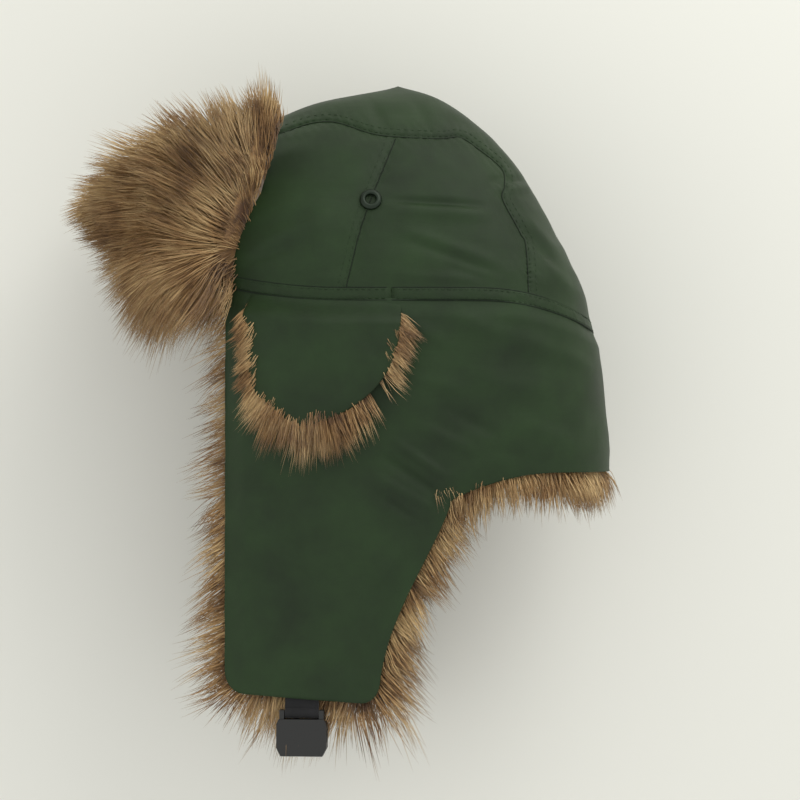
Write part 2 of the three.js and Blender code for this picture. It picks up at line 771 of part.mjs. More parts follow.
function frontFlapPieces() {
  const start = planAngle(flap.frontY);
  const mirror = (p) => new THREE.Vector3(-p.x, p.y, p.z);
  const free = new THREE.CatmullRomCurve3([
    brow.corner, brow.shoulder, brow.centre, mirror(brow.shoulder), mirror(brow.corner),
  ]);
  const place = (u, v) => {
    const plan = planPoint(lerp(start, -Math.PI - start, u), -brow.standOff);
    const base = new THREE.Vector3(plan.x, plan.y, seamHeight(plan.y) + brow.lift);
    return base.lerp(free.getPoint(u), v);
  };
  const surface = pushed(place, -1);
  const columns = steps(14);
  const rows = steps(4);
  const pileDepth = cloth + gap + brow.batting + pileGap;
  return [
    mesh("front_flap_shell", layer(surface, columns, rows, 0, cloth), nylon),
    mesh(
      "front_flap_batting",
      layer(surface, columns, rows, cloth + gap, cloth + gap + brow.batting),
      wadding,
    ),
    mesh(
      "front_flap_fur",
      layer(surface, columns, steps(4, 0, brow.pileReach), pileDepth, pileDepth + brow.pile),
      fur,
    ),
  ];
}

const hat = new THREE.Group();
hat.add(
  ...crownPieces(),
  ...neckPieces(),
  ...frontFlapPieces(),
  ...sidePieces("left", 1),
  ...sidePieces("right", -1),
);

export default hat;
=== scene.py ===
import json
import math

import bmesh
import bpy
from mathutils import Matrix, Vector, kdtree, noise
from mathutils.bvhtree import BVHTree


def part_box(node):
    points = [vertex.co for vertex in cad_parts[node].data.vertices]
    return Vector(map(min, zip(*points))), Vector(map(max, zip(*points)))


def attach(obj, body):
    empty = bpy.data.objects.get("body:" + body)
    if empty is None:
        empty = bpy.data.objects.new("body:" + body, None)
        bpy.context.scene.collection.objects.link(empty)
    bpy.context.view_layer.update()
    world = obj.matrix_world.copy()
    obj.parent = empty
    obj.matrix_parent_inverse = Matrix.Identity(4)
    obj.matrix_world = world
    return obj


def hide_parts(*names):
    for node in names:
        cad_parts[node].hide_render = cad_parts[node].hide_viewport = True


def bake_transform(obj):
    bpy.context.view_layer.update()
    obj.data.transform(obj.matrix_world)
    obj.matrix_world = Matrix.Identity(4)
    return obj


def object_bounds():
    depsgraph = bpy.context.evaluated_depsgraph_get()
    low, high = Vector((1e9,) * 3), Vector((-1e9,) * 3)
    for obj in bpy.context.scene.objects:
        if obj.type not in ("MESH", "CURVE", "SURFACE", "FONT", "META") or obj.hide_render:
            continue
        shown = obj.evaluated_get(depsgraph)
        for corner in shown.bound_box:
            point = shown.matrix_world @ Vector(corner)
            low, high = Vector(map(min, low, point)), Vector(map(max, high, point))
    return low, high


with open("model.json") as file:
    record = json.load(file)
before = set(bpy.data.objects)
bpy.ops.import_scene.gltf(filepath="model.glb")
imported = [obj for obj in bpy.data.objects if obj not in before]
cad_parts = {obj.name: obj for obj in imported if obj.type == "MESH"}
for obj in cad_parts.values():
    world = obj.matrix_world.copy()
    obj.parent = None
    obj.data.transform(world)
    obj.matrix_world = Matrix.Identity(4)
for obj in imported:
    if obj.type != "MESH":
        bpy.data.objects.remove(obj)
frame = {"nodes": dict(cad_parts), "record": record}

cadLow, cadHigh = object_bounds()
mm = 0.001
scene = bpy.context.scene

# ---- sizes the pieces share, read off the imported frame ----

bandLow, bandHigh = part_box("crown_band")
flapLow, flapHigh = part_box("left_flap_shell")
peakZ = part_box("crown_top_panel")[1].z

crownShape = {
    "halfWidth": bandHigh.x - 0.6 * mm,
    "halfLength": (bandHigh.y - bandLow.y) / 2 - 0.6 * mm,
    "centreY": (bandHigh.y + bandLow.y) / 2,
    "peakY": 1 * mm,
    "height": peakZ,
    "squareness": 2.5,  # of the plan outline, 2 is an ellipse
    "browFullness": 2.45,
    "napeFullness": 1.15,
    "bandHeight": 7 * mm,
}
# where the crown seam starts to rise and to drop, as shares that alongHead takes
seamShape = {"browStart": -0.223, "browRise": 16 * mm, "napeStart": 0.425, "napeDrop": 17 * mm}
flapShape = {
    "frontY": flapLow.y,
    "splitY": flapHigh.y,
    "length": 235 * mm,
    "jawX": 72 * mm,
    "flatten": 0.6,
    "cornerLength": 12 * mm,
    "cornerRadius": 11 * mm,
    "rearTaper": 44 * mm,
    "taperStart": 0.47,
    "hemZ": flapLow.z,
    "hemSlope": 0.07,
}


def smooth(value, low, high):
    t = min(1, max(0, (value - low) / (high - low)))
    return t * t * (3 - 2 * t)


def mix(a, b, t):
    return a + (b - a) * t


# a place along the head: -1 is the brow, 1 the nape
def alongHead(share):
    return crownShape["centreY"] + share * crownShape["halfLength"]


def seamHeight(y):
    browStart, napeStart = alongHead(seamShape["browStart"]), alongHead(seamShape["napeStart"])
    towardsBrow = max(0, (browStart - y) / (browStart - alongHead(-1)))
    towardsNape = max(0, (y - napeStart) / (alongHead(1) - napeStart))
    return seamShape["browRise"] * towardsBrow**2 - seamShape["napeDrop"] * towardsNape**2


# plan outline of the crown seam, angle 0 over the left ear and a quarter turn at the nape
def planPoint(angle, depth=0.0):
    power = 2 / crownShape["squareness"]
    c, s = math.cos(angle), math.sin(angle)
    x = (crownShape["halfWidth"] - depth) * math.copysign(abs(c) ** power, c)
    y = (crownShape["halfLength"] - depth) * math.copysign(abs(s) ** power, s)
    return x, crownShape["centreY"] + y


def planX(y):
    n = crownShape["squareness"]
    share = min(1, abs((y - crownShape["centreY"]) / crownShape["halfLength"]))
    return crownShape["halfWidth"] * (1 - share**n) ** (1 / n)


def planAngle(y):
    share = min(1, abs((y - crownShape["centreY"]) / crownShape["halfLength"]))
    return math.copysign(math.asin(share ** (crownShape["squareness"] / 2)), y - crownShape["centreY"])


# climb runs from 0, a height over the seam, to 1 at the peak
def crownPoint(angle, climb, depth, overSeam):
    x, y = planPoint(angle, depth)
    base = seamHeight(y)
    top = crownShape["height"] - depth
    rearward = (y - crownShape["centreY"]) / crownShape["halfLength"]
    fullness = mix(crownShape["browFullness"], crownShape["napeFullness"], (rearward + 1) / 2)
    start = math.asin((overSeam / (top - base)) ** (fullness / 2))
    lean = mix(start, math.pi / 2, climb)
    shrink = max(0, math.cos(lean))
    z = base + (top - base) * math.sin(lean) ** (2 / fullness)
    return Vector((x * shrink, mix(crownShape["peakY"], y, shrink), z))


# the left flap's outer face at a side-view point; in front of its edge it runs on, a little inwards
def flapSkin(y, z):
    onFlap = max(y, flapShape["frontY"])
    fall = smooth((seamHeight(onFlap) - z) / flapShape["length"], 0, 1)
    x = mix(planX(onFlap), flapShape["jawX"], fall * flapShape["flatten"])
    return Vector((x - 0.35 * (onFlap - y), y, z))


def flapInward(y, z):
    e = 0.01 * mm
    onFlap = max(y, flapShape["frontY"] + e)
    overY = (flapSkin(onFlap + e, z).x - flapSkin(onFlap - e, z).x) / (2 * e)
    overZ = (flapSkin(onFlap, z + e).x - flapSkin(onFlap, z - e).x) / (2 * e)
    return Vector((-1, overY, overZ)).normalized()


# ---- mesh helpers ----

def objectFrom(name, bm, materials, smoothFaces=True):
    bmesh.ops.recalc_face_normals(bm, faces=bm.faces)
    for face in bm.faces:
        face.smooth = smoothFaces
    mesh = bpy.data.meshes.new(name)
    bm.to_mesh(mesh)
    bm.free()
    piece = bpy.data.objects.new(name, mesh)
    scene.collection.objects.link(piece)
    for material in materials:
        mesh.materials.append(material)
    return piece


# a grid laid over a surface: place(u, v) gives the point
def gridOver(place, columns, rows, merge=False):
    bm = bmesh.new()
    bmesh.ops.create_grid(bm, x_segments=columns, y_segments=rows, size=0.5)
    for v in bm.verts:
        v.co = place(min(1, max(0, v.co.x + 0.5)), min(1, max(0, v.co.y + 0.5)))
    if merge:
        bmesh.ops.remove_doubles(bm, verts=bm.verts, dist=0.02 * mm)
    return bm


def addThickness(piece, thickness, offset=-1.0):
    solidify = piece.modifiers.new("thickness", "SOLIDIFY")
    solidify.thickness = thickness
    solidify.offset = offset
    solidify.use_even_offset = False
    return solidify


def applyModifiers(piece):
    graph = bpy.context.evaluated_depsgraph_get()
    graph.update()
    made = bpy.data.meshes.new_from_object(piece.evaluated_get(graph), depsgraph=graph)
    old = piece.data
    piece.modifiers.clear()
    piece.data = made
    bpy.data.meshes.remove(old)
    made.name = piece.name
    return piece


def mirroredCopy(piece, name):
    bm = bmesh.new()
    bm.from_mesh(piece.data)
    bmesh.ops.scale(bm, vec=(-1, 1, 1), verts=bm.verts)
    bmesh.ops.reverse_faces(bm, faces=bm.faces)
    mesh = bpy.data.meshes.new(name)
    bm.to_mesh(mesh)
    bm.free()
    copy = bpy.data.objects.new(name, mesh)
    scene.collection.objects.link(copy)
    for material in piece.data.materials:
        mesh.materials.append(material)
    return copy


# a soft crease or ridge along a short side-view line: y0, z0, y1, z1, width and height in mm
def foldLift(y, z, folds):
    lift = 0.0
    for y0, z0, y1, z1, width, height in folds:
        dy, dz = (y1 - y0) * mm, (z1 - z0) * mm
        py, pz = y - y0 * mm, z - z0 * mm
        t = (py * dy + pz * dz) / (dy * dy + dz * dz)
        near = min(1, max(0, t))
        away = math.hypot(py - near * dy, pz - near * dz)
        if away > 3 * width * mm:
            continue
        ends = math.sin(math.pi * min(1, max(0, 0.08 + 0.84 * near))) ** 0.7
        lift += height * mm * ends * math.exp(-((away / (width * mm)) ** 2))
    return lift


print("stage: materials")

# ---- materials ----

def newMaterial(name):
    material = bpy.data.materials.new(name)
    material.use_nodes = True
    nodes = material.node_tree.nodes
    return material, nodes, material.node_tree.links, nodes["Principled BSDF"]


def ramp(nodes, stops):
    node = nodes.new("ShaderNodeValToRGB")
    elements = node.color_ramp.elements
    while len(elements) < len(stops):
        elements.new(0.5)
    for element, (place, colour) in zip(elements, stops):
        element.position = place
        element.color = (*colour, 1)
    return node


def linear(r, g, b):
    return tuple(((c / 255 + 0.055) / 1.055) ** 2.4 if c > 10 else c / 255 / 12.92 for c in (r, g, b))


def noiseNode(nodes, links, coordinates, scale, detail=3.0, roughness=0.5):
    node = nodes.new("ShaderNodeTexNoise")
    node.inputs["Scale"].default_value = scale
    node.inputs["Detail"].default_value = detail
    node.inputs["Roughness"].default_value = roughness
    links.new(coordinates, node.inputs["Vector"])
    return node


def bumpChain(nodes, links, shader, heights):
    previous = None
    for socket, strength, distance in heights:
        bump = nodes.new("ShaderNodeBump")
        bump.inputs["Strength"].default_value = strength
        bump.inputs["Distance"].default_value = distance
        links.new(socket, bump.inputs["Height"])
        if previous:
            links.new(previous.outputs["Normal"], bump.inputs["Normal"])
        previous = bump
    links.new(previous.outputs["Normal"], shader.inputs["Normal"])


def wave(nodes, links, coordinates, direction, scale):
    node = nodes.new("ShaderNodeTexWave")
    node.bands_direction = direction
    node.inputs["Scale"].default_value = scale
    node.inputs["Distortion"].default_value = 0.4
    node.inputs["Detail"].default_value = 1
    links.new(coordinates, node.inputs["Vector"])
    return node


def product(nodes, links, a, b):
    node = nodes.new("ShaderNodeMath")
    node.operation = "MULTIPLY"
    links.new(a, node.inputs[0])
    links.new(b, node.inputs[1])
    return node.outputs[0]


# runs a 0 to 1 value from low to high
def fitted(nodes, links, value, low, high):
    node = nodes.new("ShaderNodeMapRange")
    node.inputs["To Min"].default_value = low
    node.inputs["To Max"].default_value = high
    links.new(value, node.inputs["Value"])
    return node.outputs["Result"]


def darkened(nodes, links, colour, by, share):
    node = nodes.new("ShaderNodeMixRGB")
    node.blend_type = "MULTIPLY"
    node.inputs["Fac"].default_value = share
    links.new(colour, node.inputs["Color1"])
    links.new(by, node.inputs["Color2"])
    return node.outputs["Color"]


def clothMaterial(name, dark, light, roughness, weave, weaveDepth, crumple, sheen, gleam=0.3):
    material, nodes, links, shader = newMaterial(name)
    place = nodes.new("ShaderNodeTexCoord").outputs["Object"]
    cloud = noiseNode(nodes, links, place, 22, 5, 0.6)
    tint = ramp(nodes, [(0.3, dark), (0.72, light)])
    links.new(cloud.outputs["Fac"], tint.inputs["Fac"])
    across = wave(nodes, links, place, "Y", weave)
    along = wave(nodes, links, place, "Z", weave)
    threads = product(nodes, links, across.outputs["Fac"], along.outputs["Fac"])
    shaded = darkened(nodes, links, tint.outputs["Color"], threads, 0.12)
    links.new(shaded, shader.inputs["Base Color"])
    wear = noiseNode(nodes, links, place, 60, 3).outputs["Fac"]
    gloss = fitted(nodes, links, wear, roughness - 0.06, roughness + 0.08)
    links.new(gloss, shader.inputs["Roughness"])
    wrinkle = noiseNode(nodes, links, place, 70, 4, 0.5)
    stretch = nodes.new("ShaderNodeMapping")
    stretch.inputs["Scale"].default_value = (40, 40, 330)
    links.new(place, stretch.inputs["Vector"])
    crinkle = noiseNode(nodes, links, stretch.outputs["Vector"], 1, 3, 0.5)
    bumps = [
        (wrinkle.outputs["Fac"], crumple, 1.2 * mm),
        (crinkle.outputs["Fac"], crumple, 0.8 * mm),
        (threads, weaveDepth, 0.12 * mm),
    ]
    bumpChain(nodes, links, shader, bumps)
    shader.inputs["Sheen Weight"].default_value = sheen
    shader.inputs["Sheen Roughness"].default_value = 0.4
    shader.inputs["Specular IOR Level"].default_value = gleam
    return material


def furMaterial(name, dark, middle, tan, tip):
    material, nodes, links, shader = newMaterial(name)
    place = nodes.new("ShaderNodeTexCoord").outputs["Object"]
    along = nodes.new("ShaderNodeAttribute")
    along.attribute_name = "along"
    tone = nodes.new("ShaderNodeAttribute")
    tone.attribute_name = "tone"
    patches = noiseNode(nodes, links, place, 38, 4, 0.6)
    blendTone = nodes.new("ShaderNodeMath")
    blendTone.operation = "MULTIPLY_ADD"
    blendTone.inputs[1].default_value = 0.4
    links.new(tone.outputs["Fac"], blendTone.inputs[0])
    links.new(patches.outputs["Fac"], blendTone.inputs[2])
    body = ramp(nodes, [(0.48, dark), (0.66, middle), (0.86, tan)])
    links.new(blendTone.outputs[0], body.inputs["Fac"])
    rootShade = ramp(nodes, [(0.0, (0.42, 0.36, 0.3)), (0.35, (1, 1, 1)), (1.0, (1, 1, 1))])
    links.new(along.outputs["Fac"], rootShade.inputs["Fac"])
    rooted = darkened(nodes, links, body.outputs["Color"], rootShade.outputs["Color"], 1)
    tipShare = nodes.new("ShaderNodeMapRange")
    tipShare.inputs["From Min"].default_value = 0.62
    tipShare.inputs["From Max"].default_value = 0.95
    tipShare.inputs["To Max"].default_value = 0.5
    links.new(along.outputs["Fac"], tipShare.inputs["Value"])
    tipped = nodes.new("ShaderNodeMixRGB")
    tipped.inputs["Color2"].default_value = (*tip, 1)
    links.new(tipShare.outputs["Result"], tipped.inputs["Fac"])
    links.new(rooted, tipped.inputs["Color1"])
    links.new(tipped.outputs["Color"], shader.inputs["Base Color"])
    shader.inputs["Roughness"].default_value = 0.5
    shader.inputs["Specular IOR Level"].default_value = 0.35
    shader.inputs["Sheen Weight"].default_value = 0.15
    return material


def plasticMaterial(name, colour, roughness, metallic=0.0):
    material, nodes, links, shader = newMaterial(name)
    place = nodes.new("ShaderNodeTexCoord").outputs["Object"]
    grain = noiseNode(nodes, links, place, 1500, 2)
    scuffs = noiseNode(nodes, links, place, 160, 5, 0.65)
    tint = ramp(nodes, [(0.35, colour), (0.75, tuple(min(1, c * 1.5) for c in colour))])
    links.new(scuffs.outputs["Fac"], tint.inputs["Fac"])
    links.new(tint.outputs["Color"], shader.inputs["Base Color"])
    gloss = fitted(nodes, links, scuffs.outputs["Fac"], roughness - 0.1, roughness + 0.12)
    links.new(gloss, shader.inputs["Roughness"])
    bumpChain(nodes, links, shader, [(grain.outputs["Fac"], 0.35, 0.1 * mm)])
    shader.inputs["Metallic"].default_value = metallic
    return material


# roughness, threads of the weave, their depth, crumple, sheen and gleam follow each cloth's two colours
greenNylon = clothMaterial(
    "greenNylon", linear(25, 40, 19), linear(36, 58, 27), 0.52, 1500, 0.35, 0.14, 0.0, 0.24
)
blackLining = clothMaterial("blackLining", linear(24, 24, 23), linear(40, 40, 38), 0.5, 1300, 0.3, 0.2, 0.1)
wadding = clothMaterial("wadding", linear(205, 203, 196), linear(236, 234, 228), 0.95, 700, 0.5, 0.6, 0.3)
strapWebbing = clothMaterial(
    "strapWebbing", linear(20, 20, 21), linear(38, 38, 40), 0.8, 620, 1.0, 0.1, 0.2
)
hookTape = clothMaterial("hookTape", linear(20, 22, 19), linear(38, 41, 36), 0.95, 500, 1.0, 0.5, 0.3)
greenThread = clothMaterial("greenThread", linear(32, 50, 28), linear(42, 64, 35), 0.6, 2500, 0.6, 0.1, 0.0)
seamShadow = clothMaterial("seamShadow", linear(14, 24, 13), linear(20, 34, 18), 0.8, 2500, 0.3, 0.1, 0.0)
brownFur = furMaterial(
    "brownFur", linear(88, 60, 37), linear(158, 122, 77), linear(206, 176, 126), linear(78, 56, 37)
)
blackPlastic = plasticMaterial("blackPlastic", linear(12, 13, 12), 0.38)
paintedEyelet = plasticMaterial("paintedEyelet", linear(22, 34, 22), 0.38, 0.5)

# every CAD node gets its finish first, and the pieces below replace the soft ones
finishes = {
    "shell_fabric": greenNylon,
    "faux_fur": brownFur,
    "lining_satin": blackLining,
    "batting": wadding,
    "webbing": strapWebbing,
    "hook_loop": hookTape,
    "buckle_plastic": blackPlastic,
    "eyelet_metal": paintedEyelet,
}
for part in frame["record"]["subparts"]:
    node = frame["nodes"][part["node"]]
    for materialSlot in node.material_slots:
        materialSlot.material = finishes[part["material_slot"]]

print("stage: crown")

# ---- crown ----

crownLook = {
    "columns": 430,
    "rows": 190,
    "puff": 2.0 * mm,  # how far the padding pushes a panel out between its seams
    "overlap": 0.7 * mm,  # the top panel is turned over the side panels by this much
    "seamDepth": 1.0 * mm,
    "seamWidth": 1.0 * mm,
    "pucker": 0.3 * mm,
    "puckerPitch": 6 * mm,
    "ripple": 1.5 * mm,
    "lowest": 0.3 * mm,  # the cloth never sinks under this, where the padding starts
    "peak": 4 * mm,
}

# side-view lines of the seams, as shares of the crown's half-length and height: the top panel's edge from
# the brow to the nape, and the upright seam by the eyelet
topSeamLine = [
    (-0.943, -0.09), (-0.919, 0.267), (-0.773, 0.656), (-0.506, 0.8), (-0.304, 0.84), (-0.069, 0.771),
    (0.223, 0.756), (0.33, 0.768), (0.409, 0.725), (0.538, 0.626), (0.55, 0.54), (0.538, 0.473),
    (0.62, 0.32), (0.65, 0.24), (0.66, -0.09),
]
sideSeamLine = [(0.02, 0.756), (-0.045, 0.595), (-0.101, 0.458), (-0.158, 0.29), (-0.231, 0)]

eyeletLook = {
    "y": alongHead(-0.101),
    "z": 0.458 * crownShape["height"],
    "flange": 6.6 * mm,
    "bore": 3.2 * mm,
    "crown": 1.5 * mm,
    "stands": 0.9 * mm,
}
crownFolds = [
    (-4, 59, 50, 56, 2.4, -2.0), (0, 53, 52, 50, 4, 1.3), (58, 73, 82, 76, 2.2, -1.6),
    (60, 67, 84, 70, 3, 1.2), (6, 40, 56, 24, 4, 1.3), (10, 34, 60, 16, 3, -1.1),
    (-40, 16, -66, 12, 3, -0.9), (-34, 12, -90, 16, 4, 1.1), (-84, 30, -50, 44, 5, 1.3),
    (-90, 22, -56, 34, 3, -1.0), (-76, 84, -48, 92, 5, 0.9), (22, 82, 50, 70, 5, 0.9),
    (74, 52, 96, 30, 4, 1.5), (76, 44, 94, 22, 3, -1.2), (84, 26, 104, 8, 4, 1.2),
    (84, 84, 60, 98, 5, 0.9), (-46, 16, -42, 60, 7, 0.8), (26, 112, 50, 106, 5, -0.9),
    (-16, 124, -6, 102, 4, -1.4), (12, 122, 20, 104, 4, -1.1), (4, 14, 44, 12, 3, 0.9),
    (30, 20, 58, 10, 3, -0.8),
]


# a smooth curve that passes through b and c, at a share of the way between them
def throughPoints(a, b, c, d, t):
    bend = 2 * a - 5 * b + 4 * c - d
    twist = 3 * b - a - 3 * c + d
    return 0.5 * (2 * b + (c - a) * t + bend * t**2 + twist * t**3)


# a smooth run of side-view points through corners given as shares of the crown
def smoothLine(corners, count):
    corners = [(alongHead(along), up * crownShape["height"]) for along, up in corners]
    ends = [corners[0], *corners, corners[-1]]
    line = []
    spans = len(corners) - 1
    for step in range(count + 1):
        place = step / count * spans
        k = min(spans - 1, int(place))
        t = place - k
        line.append(throughPoints(*(Vector(ends[k + n]) for n in range(4)), t))
    return line


seamLines = [smoothLine(topSeamLine, 260), smoothLine(sideSeamLine, 80)]
seamPoints = [(a, b - a, line is seamLines[0]) for line in seamLines for a, b in zip(line, line[1:])]
seamTree = kdtree.KDTree(len(seamPoints))
for number, (point, _, _) in enumerate(seamPoints):
    seamTree.insert((0, point.x, point.y), number)
seamTree.balance()


def crownLift(point, outward):
    look = crownLook
    _, number, away = seamTree.find((0, point.y, point.z))
    start, along, isTopSeam = seamPoints[number]
    onSide = smooth(abs(point.x), 14 * mm, 34 * mm)  # the seams run only down the sides
    above = along.x * (point.z - start.y) - along.y * (point.y - start.x) > 0
    away = mix(40 * mm, away, onSide)
    lift = look["puff"] * (1 - math.exp(-away / (9 * mm)))
    lift -= look["seamDepth"] * math.exp(-((away / look["seamWidth"]) ** 2))
    if isTopSeam and above:
        lift += look["overlap"] * onSide * smooth(away, 0.3 * mm, 1.5 * mm) * math.exp(-away / (16 * mm))
    turn = (point.y + 0.6 * point.z) * 2 * math.pi / look["puckerPitch"]
    nearSeam = math.exp(-away / (5 * mm)) * onSide
    lift += look["pucker"] * math.sin(turn + 3 * noise.noise(point * 90)) * nearSeam
    lift += look["ripple"] * noise.noise(Vector((point.x * 9, point.y * 13, point.z * 30)))
    small = Vector((point.x * 30, point.y * 30, point.z * 85)) + Vector((7, 3, 1))
    lift += 0.45 * look["ripple"] * noise.noise(small)
    overBand = smooth(point.z - seamHeight(point.y), 7 * mm, 20 * mm)
    lift += foldLift(point.y, point.z, crownFolds) * onSide
    toEyelet = math.hypot(point.y - eyeletLook["y"], point.z - eyeletLook["z"])
    lift = mix(0.8 * mm, lift, smooth(toEyelet, 4 * mm, 14 * mm))
    toPeak = math.hypot(point.x, point.y - crownShape["peakY"])
    lift = mix(look["lowest"], lift, mix(0.2, 1, overBand))
    lift += look["peak"] * math.exp(-toPeak / (11 * mm)) * outward.z
    return max(look["lowest"], lift + 0.5 * mm)


def crownPlace(u, v):
    angle = u * 2 * math.pi
    climb = v**0.92
    base = crownPoint(angle, climb, 0, crownShape["bandHeight"])
    outward = Vector((base.x, (base.y - crownShape["centreY"]) * 0.7, max(0.0, base.z) * 0.8)).normalized()
    return base + outward * crownLift(base, outward)


crownGrid = gridOver(crownPlace, crownLook["columns"], crownLook["rows"], True)
crownShell = objectFrom("crownShell", crownGrid, [greenNylon])
crownSurface = BVHTree.FromPolygons(
    [v.co.copy() for v in crownShell.data.vertices], [tuple(p.vertices) for p in crownShell.data.polygons]
)
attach(crownShell, "crown")
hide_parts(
    "crown_top_panel", "crown_left_front_panel", "crown_left_rear_panel",
    "crown_right_front_panel", "crown_right_rear_panel",
)


bandLook = {
    "over": 1.2 * mm,  # how far its top runs past the stitched height
    "stands": 0.7 * mm,
    "swell": 0.7 * mm,
    "ripple": 0.35 * mm,
    "cloth": 0.8 * mm,
}


# the way out from the head round the band
def bandOutward(angle):
    x, y = planPoint(angle)
    return Vector((x, (y - crownShape["centreY"]) * 0.7, 0)).normalized()


def bandPlace(u, v):
    angle = u * 2 * math.pi
    overSeam = max(0.0001 * mm, v * (crownShape["bandHeight"] + bandLook["over"]))
    across = math.sin(math.pi * v)
    swell = bandLook["swell"] * across**0.4 + bandLook["stands"]
    swell += bandLook["ripple"] * noise.noise(Vector((angle * 28, v * 2, 0))) * across
    return crownPoint(angle, 0, 0, overSeam) + bandOutward(angle) * swell


crownBand = objectFrom("crownBand", gridOver(bandPlace, 420, 10, True), [greenNylon])
addThickness(crownBand, bandLook["cloth"])
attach(crownBand, "crown")
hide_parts("crown_band")


liningLook = {"depth": 10.6 * mm, "overSeam": 0.3 * mm, "slack": 0.9 * mm, "cloth": 0.6 * mm}


def liningPlace(u, v):
    angle = u * 2 * math.pi
    point = crownPoint(angle, v, liningLook["depth"], liningLook["overSeam"])
    inward = Vector((-point.x, crownShape["centreY"] - point.y, -0.5 * point.z)).normalized()
    rumple = noise.noise(Vector((point.x, point.y, point.z * 2)) * 30)
    return point + inward * (liningLook["slack"] + liningLook["slack"] * rumple)


crownLining = objectFrom("crownLining", gridOver(liningPlace, 200, 60, True), [blackLining])
addThickness(crownLining, liningLook["cloth"], 0)
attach(crownLining, "crown")
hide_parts("crown_lining")


# ---- stitches ----

stitchLook = {
    "length": 2.4 * mm,
    "gap": 1.0 * mm,
    "radius": 0.2 * mm,
    "stands": 0.05 * mm,
    "bandRows": (1.3 * mm, 6.4 * mm),  # over the crown seam
    "bandStands": 1.35 * mm,
    "seamRows": (1.7 * mm, 5 * mm),  # beside the panel seams
    # radius of the tube that carries the painted seam shadow
    "seamShadowRadius": 0.32 * mm,
}


# rows of short stitches along paths of (point, normal) pairs
def stitchRows(name, paths, material):
    bm = bmesh.new()
    pitch = stitchLook["length"] + stitchLook["gap"]
    for path in paths:
        travelled = 0.0
        for (a, normal), (b, _) in zip(path, path[1:]):
            step = (b - a).length
            travelled += step
            if travelled < pitch or step < 1e-6:
                continue
            travelled = 0.0
            along = (b - a).normalized()
            side = normal.cross(along).normalized()
            turn = Matrix((along, side, normal)).transposed().to_4x4()
            radius = stitchLook["radius"]
            size = Matrix.Diagonal((stitchLook["length"] / 2, radius, radius, 1))
            place = Matrix.Translation(b + normal * stitchLook["stands"]) @ turn @ size
            bmesh.ops.create_uvsphere(bm, u_segments=6, v_segments=4, radius=1, matrix=place)
    return objectFrom(name, bm, [material])


# points of a side-view line on both sides of the crown, shifted sideways in that view
def onCrownSides(line, shift):
    paths = []
    for side in (1, -1):
        path = []
        for a, b in zip(line, line[1:]):
            along = (b - a).normalized()
            at = b + Vector((-along.y, along.x)) * shift
            outside = Vector((side * 0.2, at.x, at.y))
            hit, normal, _, _ = crownSurface.ray_cast(outside, Vector((-side, 0, 0)))
            if hit is None or abs(hit.x) < 12 * mm:
                continue
            path.append((hit, normal if normal.x * side > 0 else -normal))
        paths.append(path)
    return paths


def denser(line, step=0.9 * mm):
    made = [line[0]]
    for a, b in zip(line, line[1:]):
        count = max(1, int((b - a).length / step))
        made += [a.lerp(b, (n + 1) / count) for n in range(count)]
    return made


def bandPath(overSeam, stands):
    path = []
    steps = 1400
    for n in range(steps):
        angle = 2 * math.pi * n / steps
        outward = bandOutward(angle)
        path.append((crownPoint(angle, 0, 0, overSeam) + outward * stands, outward))
    return path


stitchPaths = [bandPath(overSeam, stitchLook["bandStands"]) for overSeam in stitchLook["bandRows"]]
for shift in stitchLook["seamRows"]:
    stitchPaths += onCrownSides(denser(seamLines[0]), shift)
    stitchPaths += onCrownSides(denser(seamLines[1]), -shift)
crownStitches = stitchRows("crownStitches", stitchPaths, greenThread)


# painted seam shadow: the dark line where two panels meet, drawn as a thin round dark tube along each path
def seamShadowTube(name, paths, radius, material):
    curve = bpy.data.curves.new(name, "CURVE")
    curve.dimensions = "3D"
    curve.bevel_depth = radius
    curve.bevel_resolution = 1
    curve.use_fill_caps = True
    for path in paths:
        spline = curve.splines.new("POLY")
        spline.points.add(len(path) - 1)
        for spot, (point, normal) in zip(spline.points, path):
            spot.co = (*(point + normal * 0.1 * mm), 1)
    holder = bpy.data.objects.new(name + "Path", curve)
    scene.collection.objects.link(holder)
    bpy.context.view_layer.update()
    mesh = bpy.data.meshes.new_from_object(holder.evaluated_get(bpy.context.evaluated_depsgraph_get()))
    bpy.data.objects.remove(holder)
    mesh.name = name
    mesh.materials.clear()
    mesh.materials.append(material)
    shadeTube = bpy.data.objects.new(name, mesh)
    scene.collection.objects.link(shadeTube)
    return shadeTube


# painted seam shadow along the panel seams and along both edges of the band
seamPaths = onCrownSides(denser(seamLines[0], 1.2 * mm), 0)
seamPaths += onCrownSides(denser(seamLines[1], 1.2 * mm), 0)
seamPaths += [bandPath(0.1 * mm, 1.1 * mm)[::2], bandPath(7.6 * mm, 0.9 * mm)[::2]]
panelSeamShadow = seamShadowTube("panelSeamShadow", seamPaths, stitchLook["seamShadowRadius"], seamShadow)
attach(panelSeamShadow, "crown")
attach(crownStitches, "crown")


# ---- vent eyelets ----

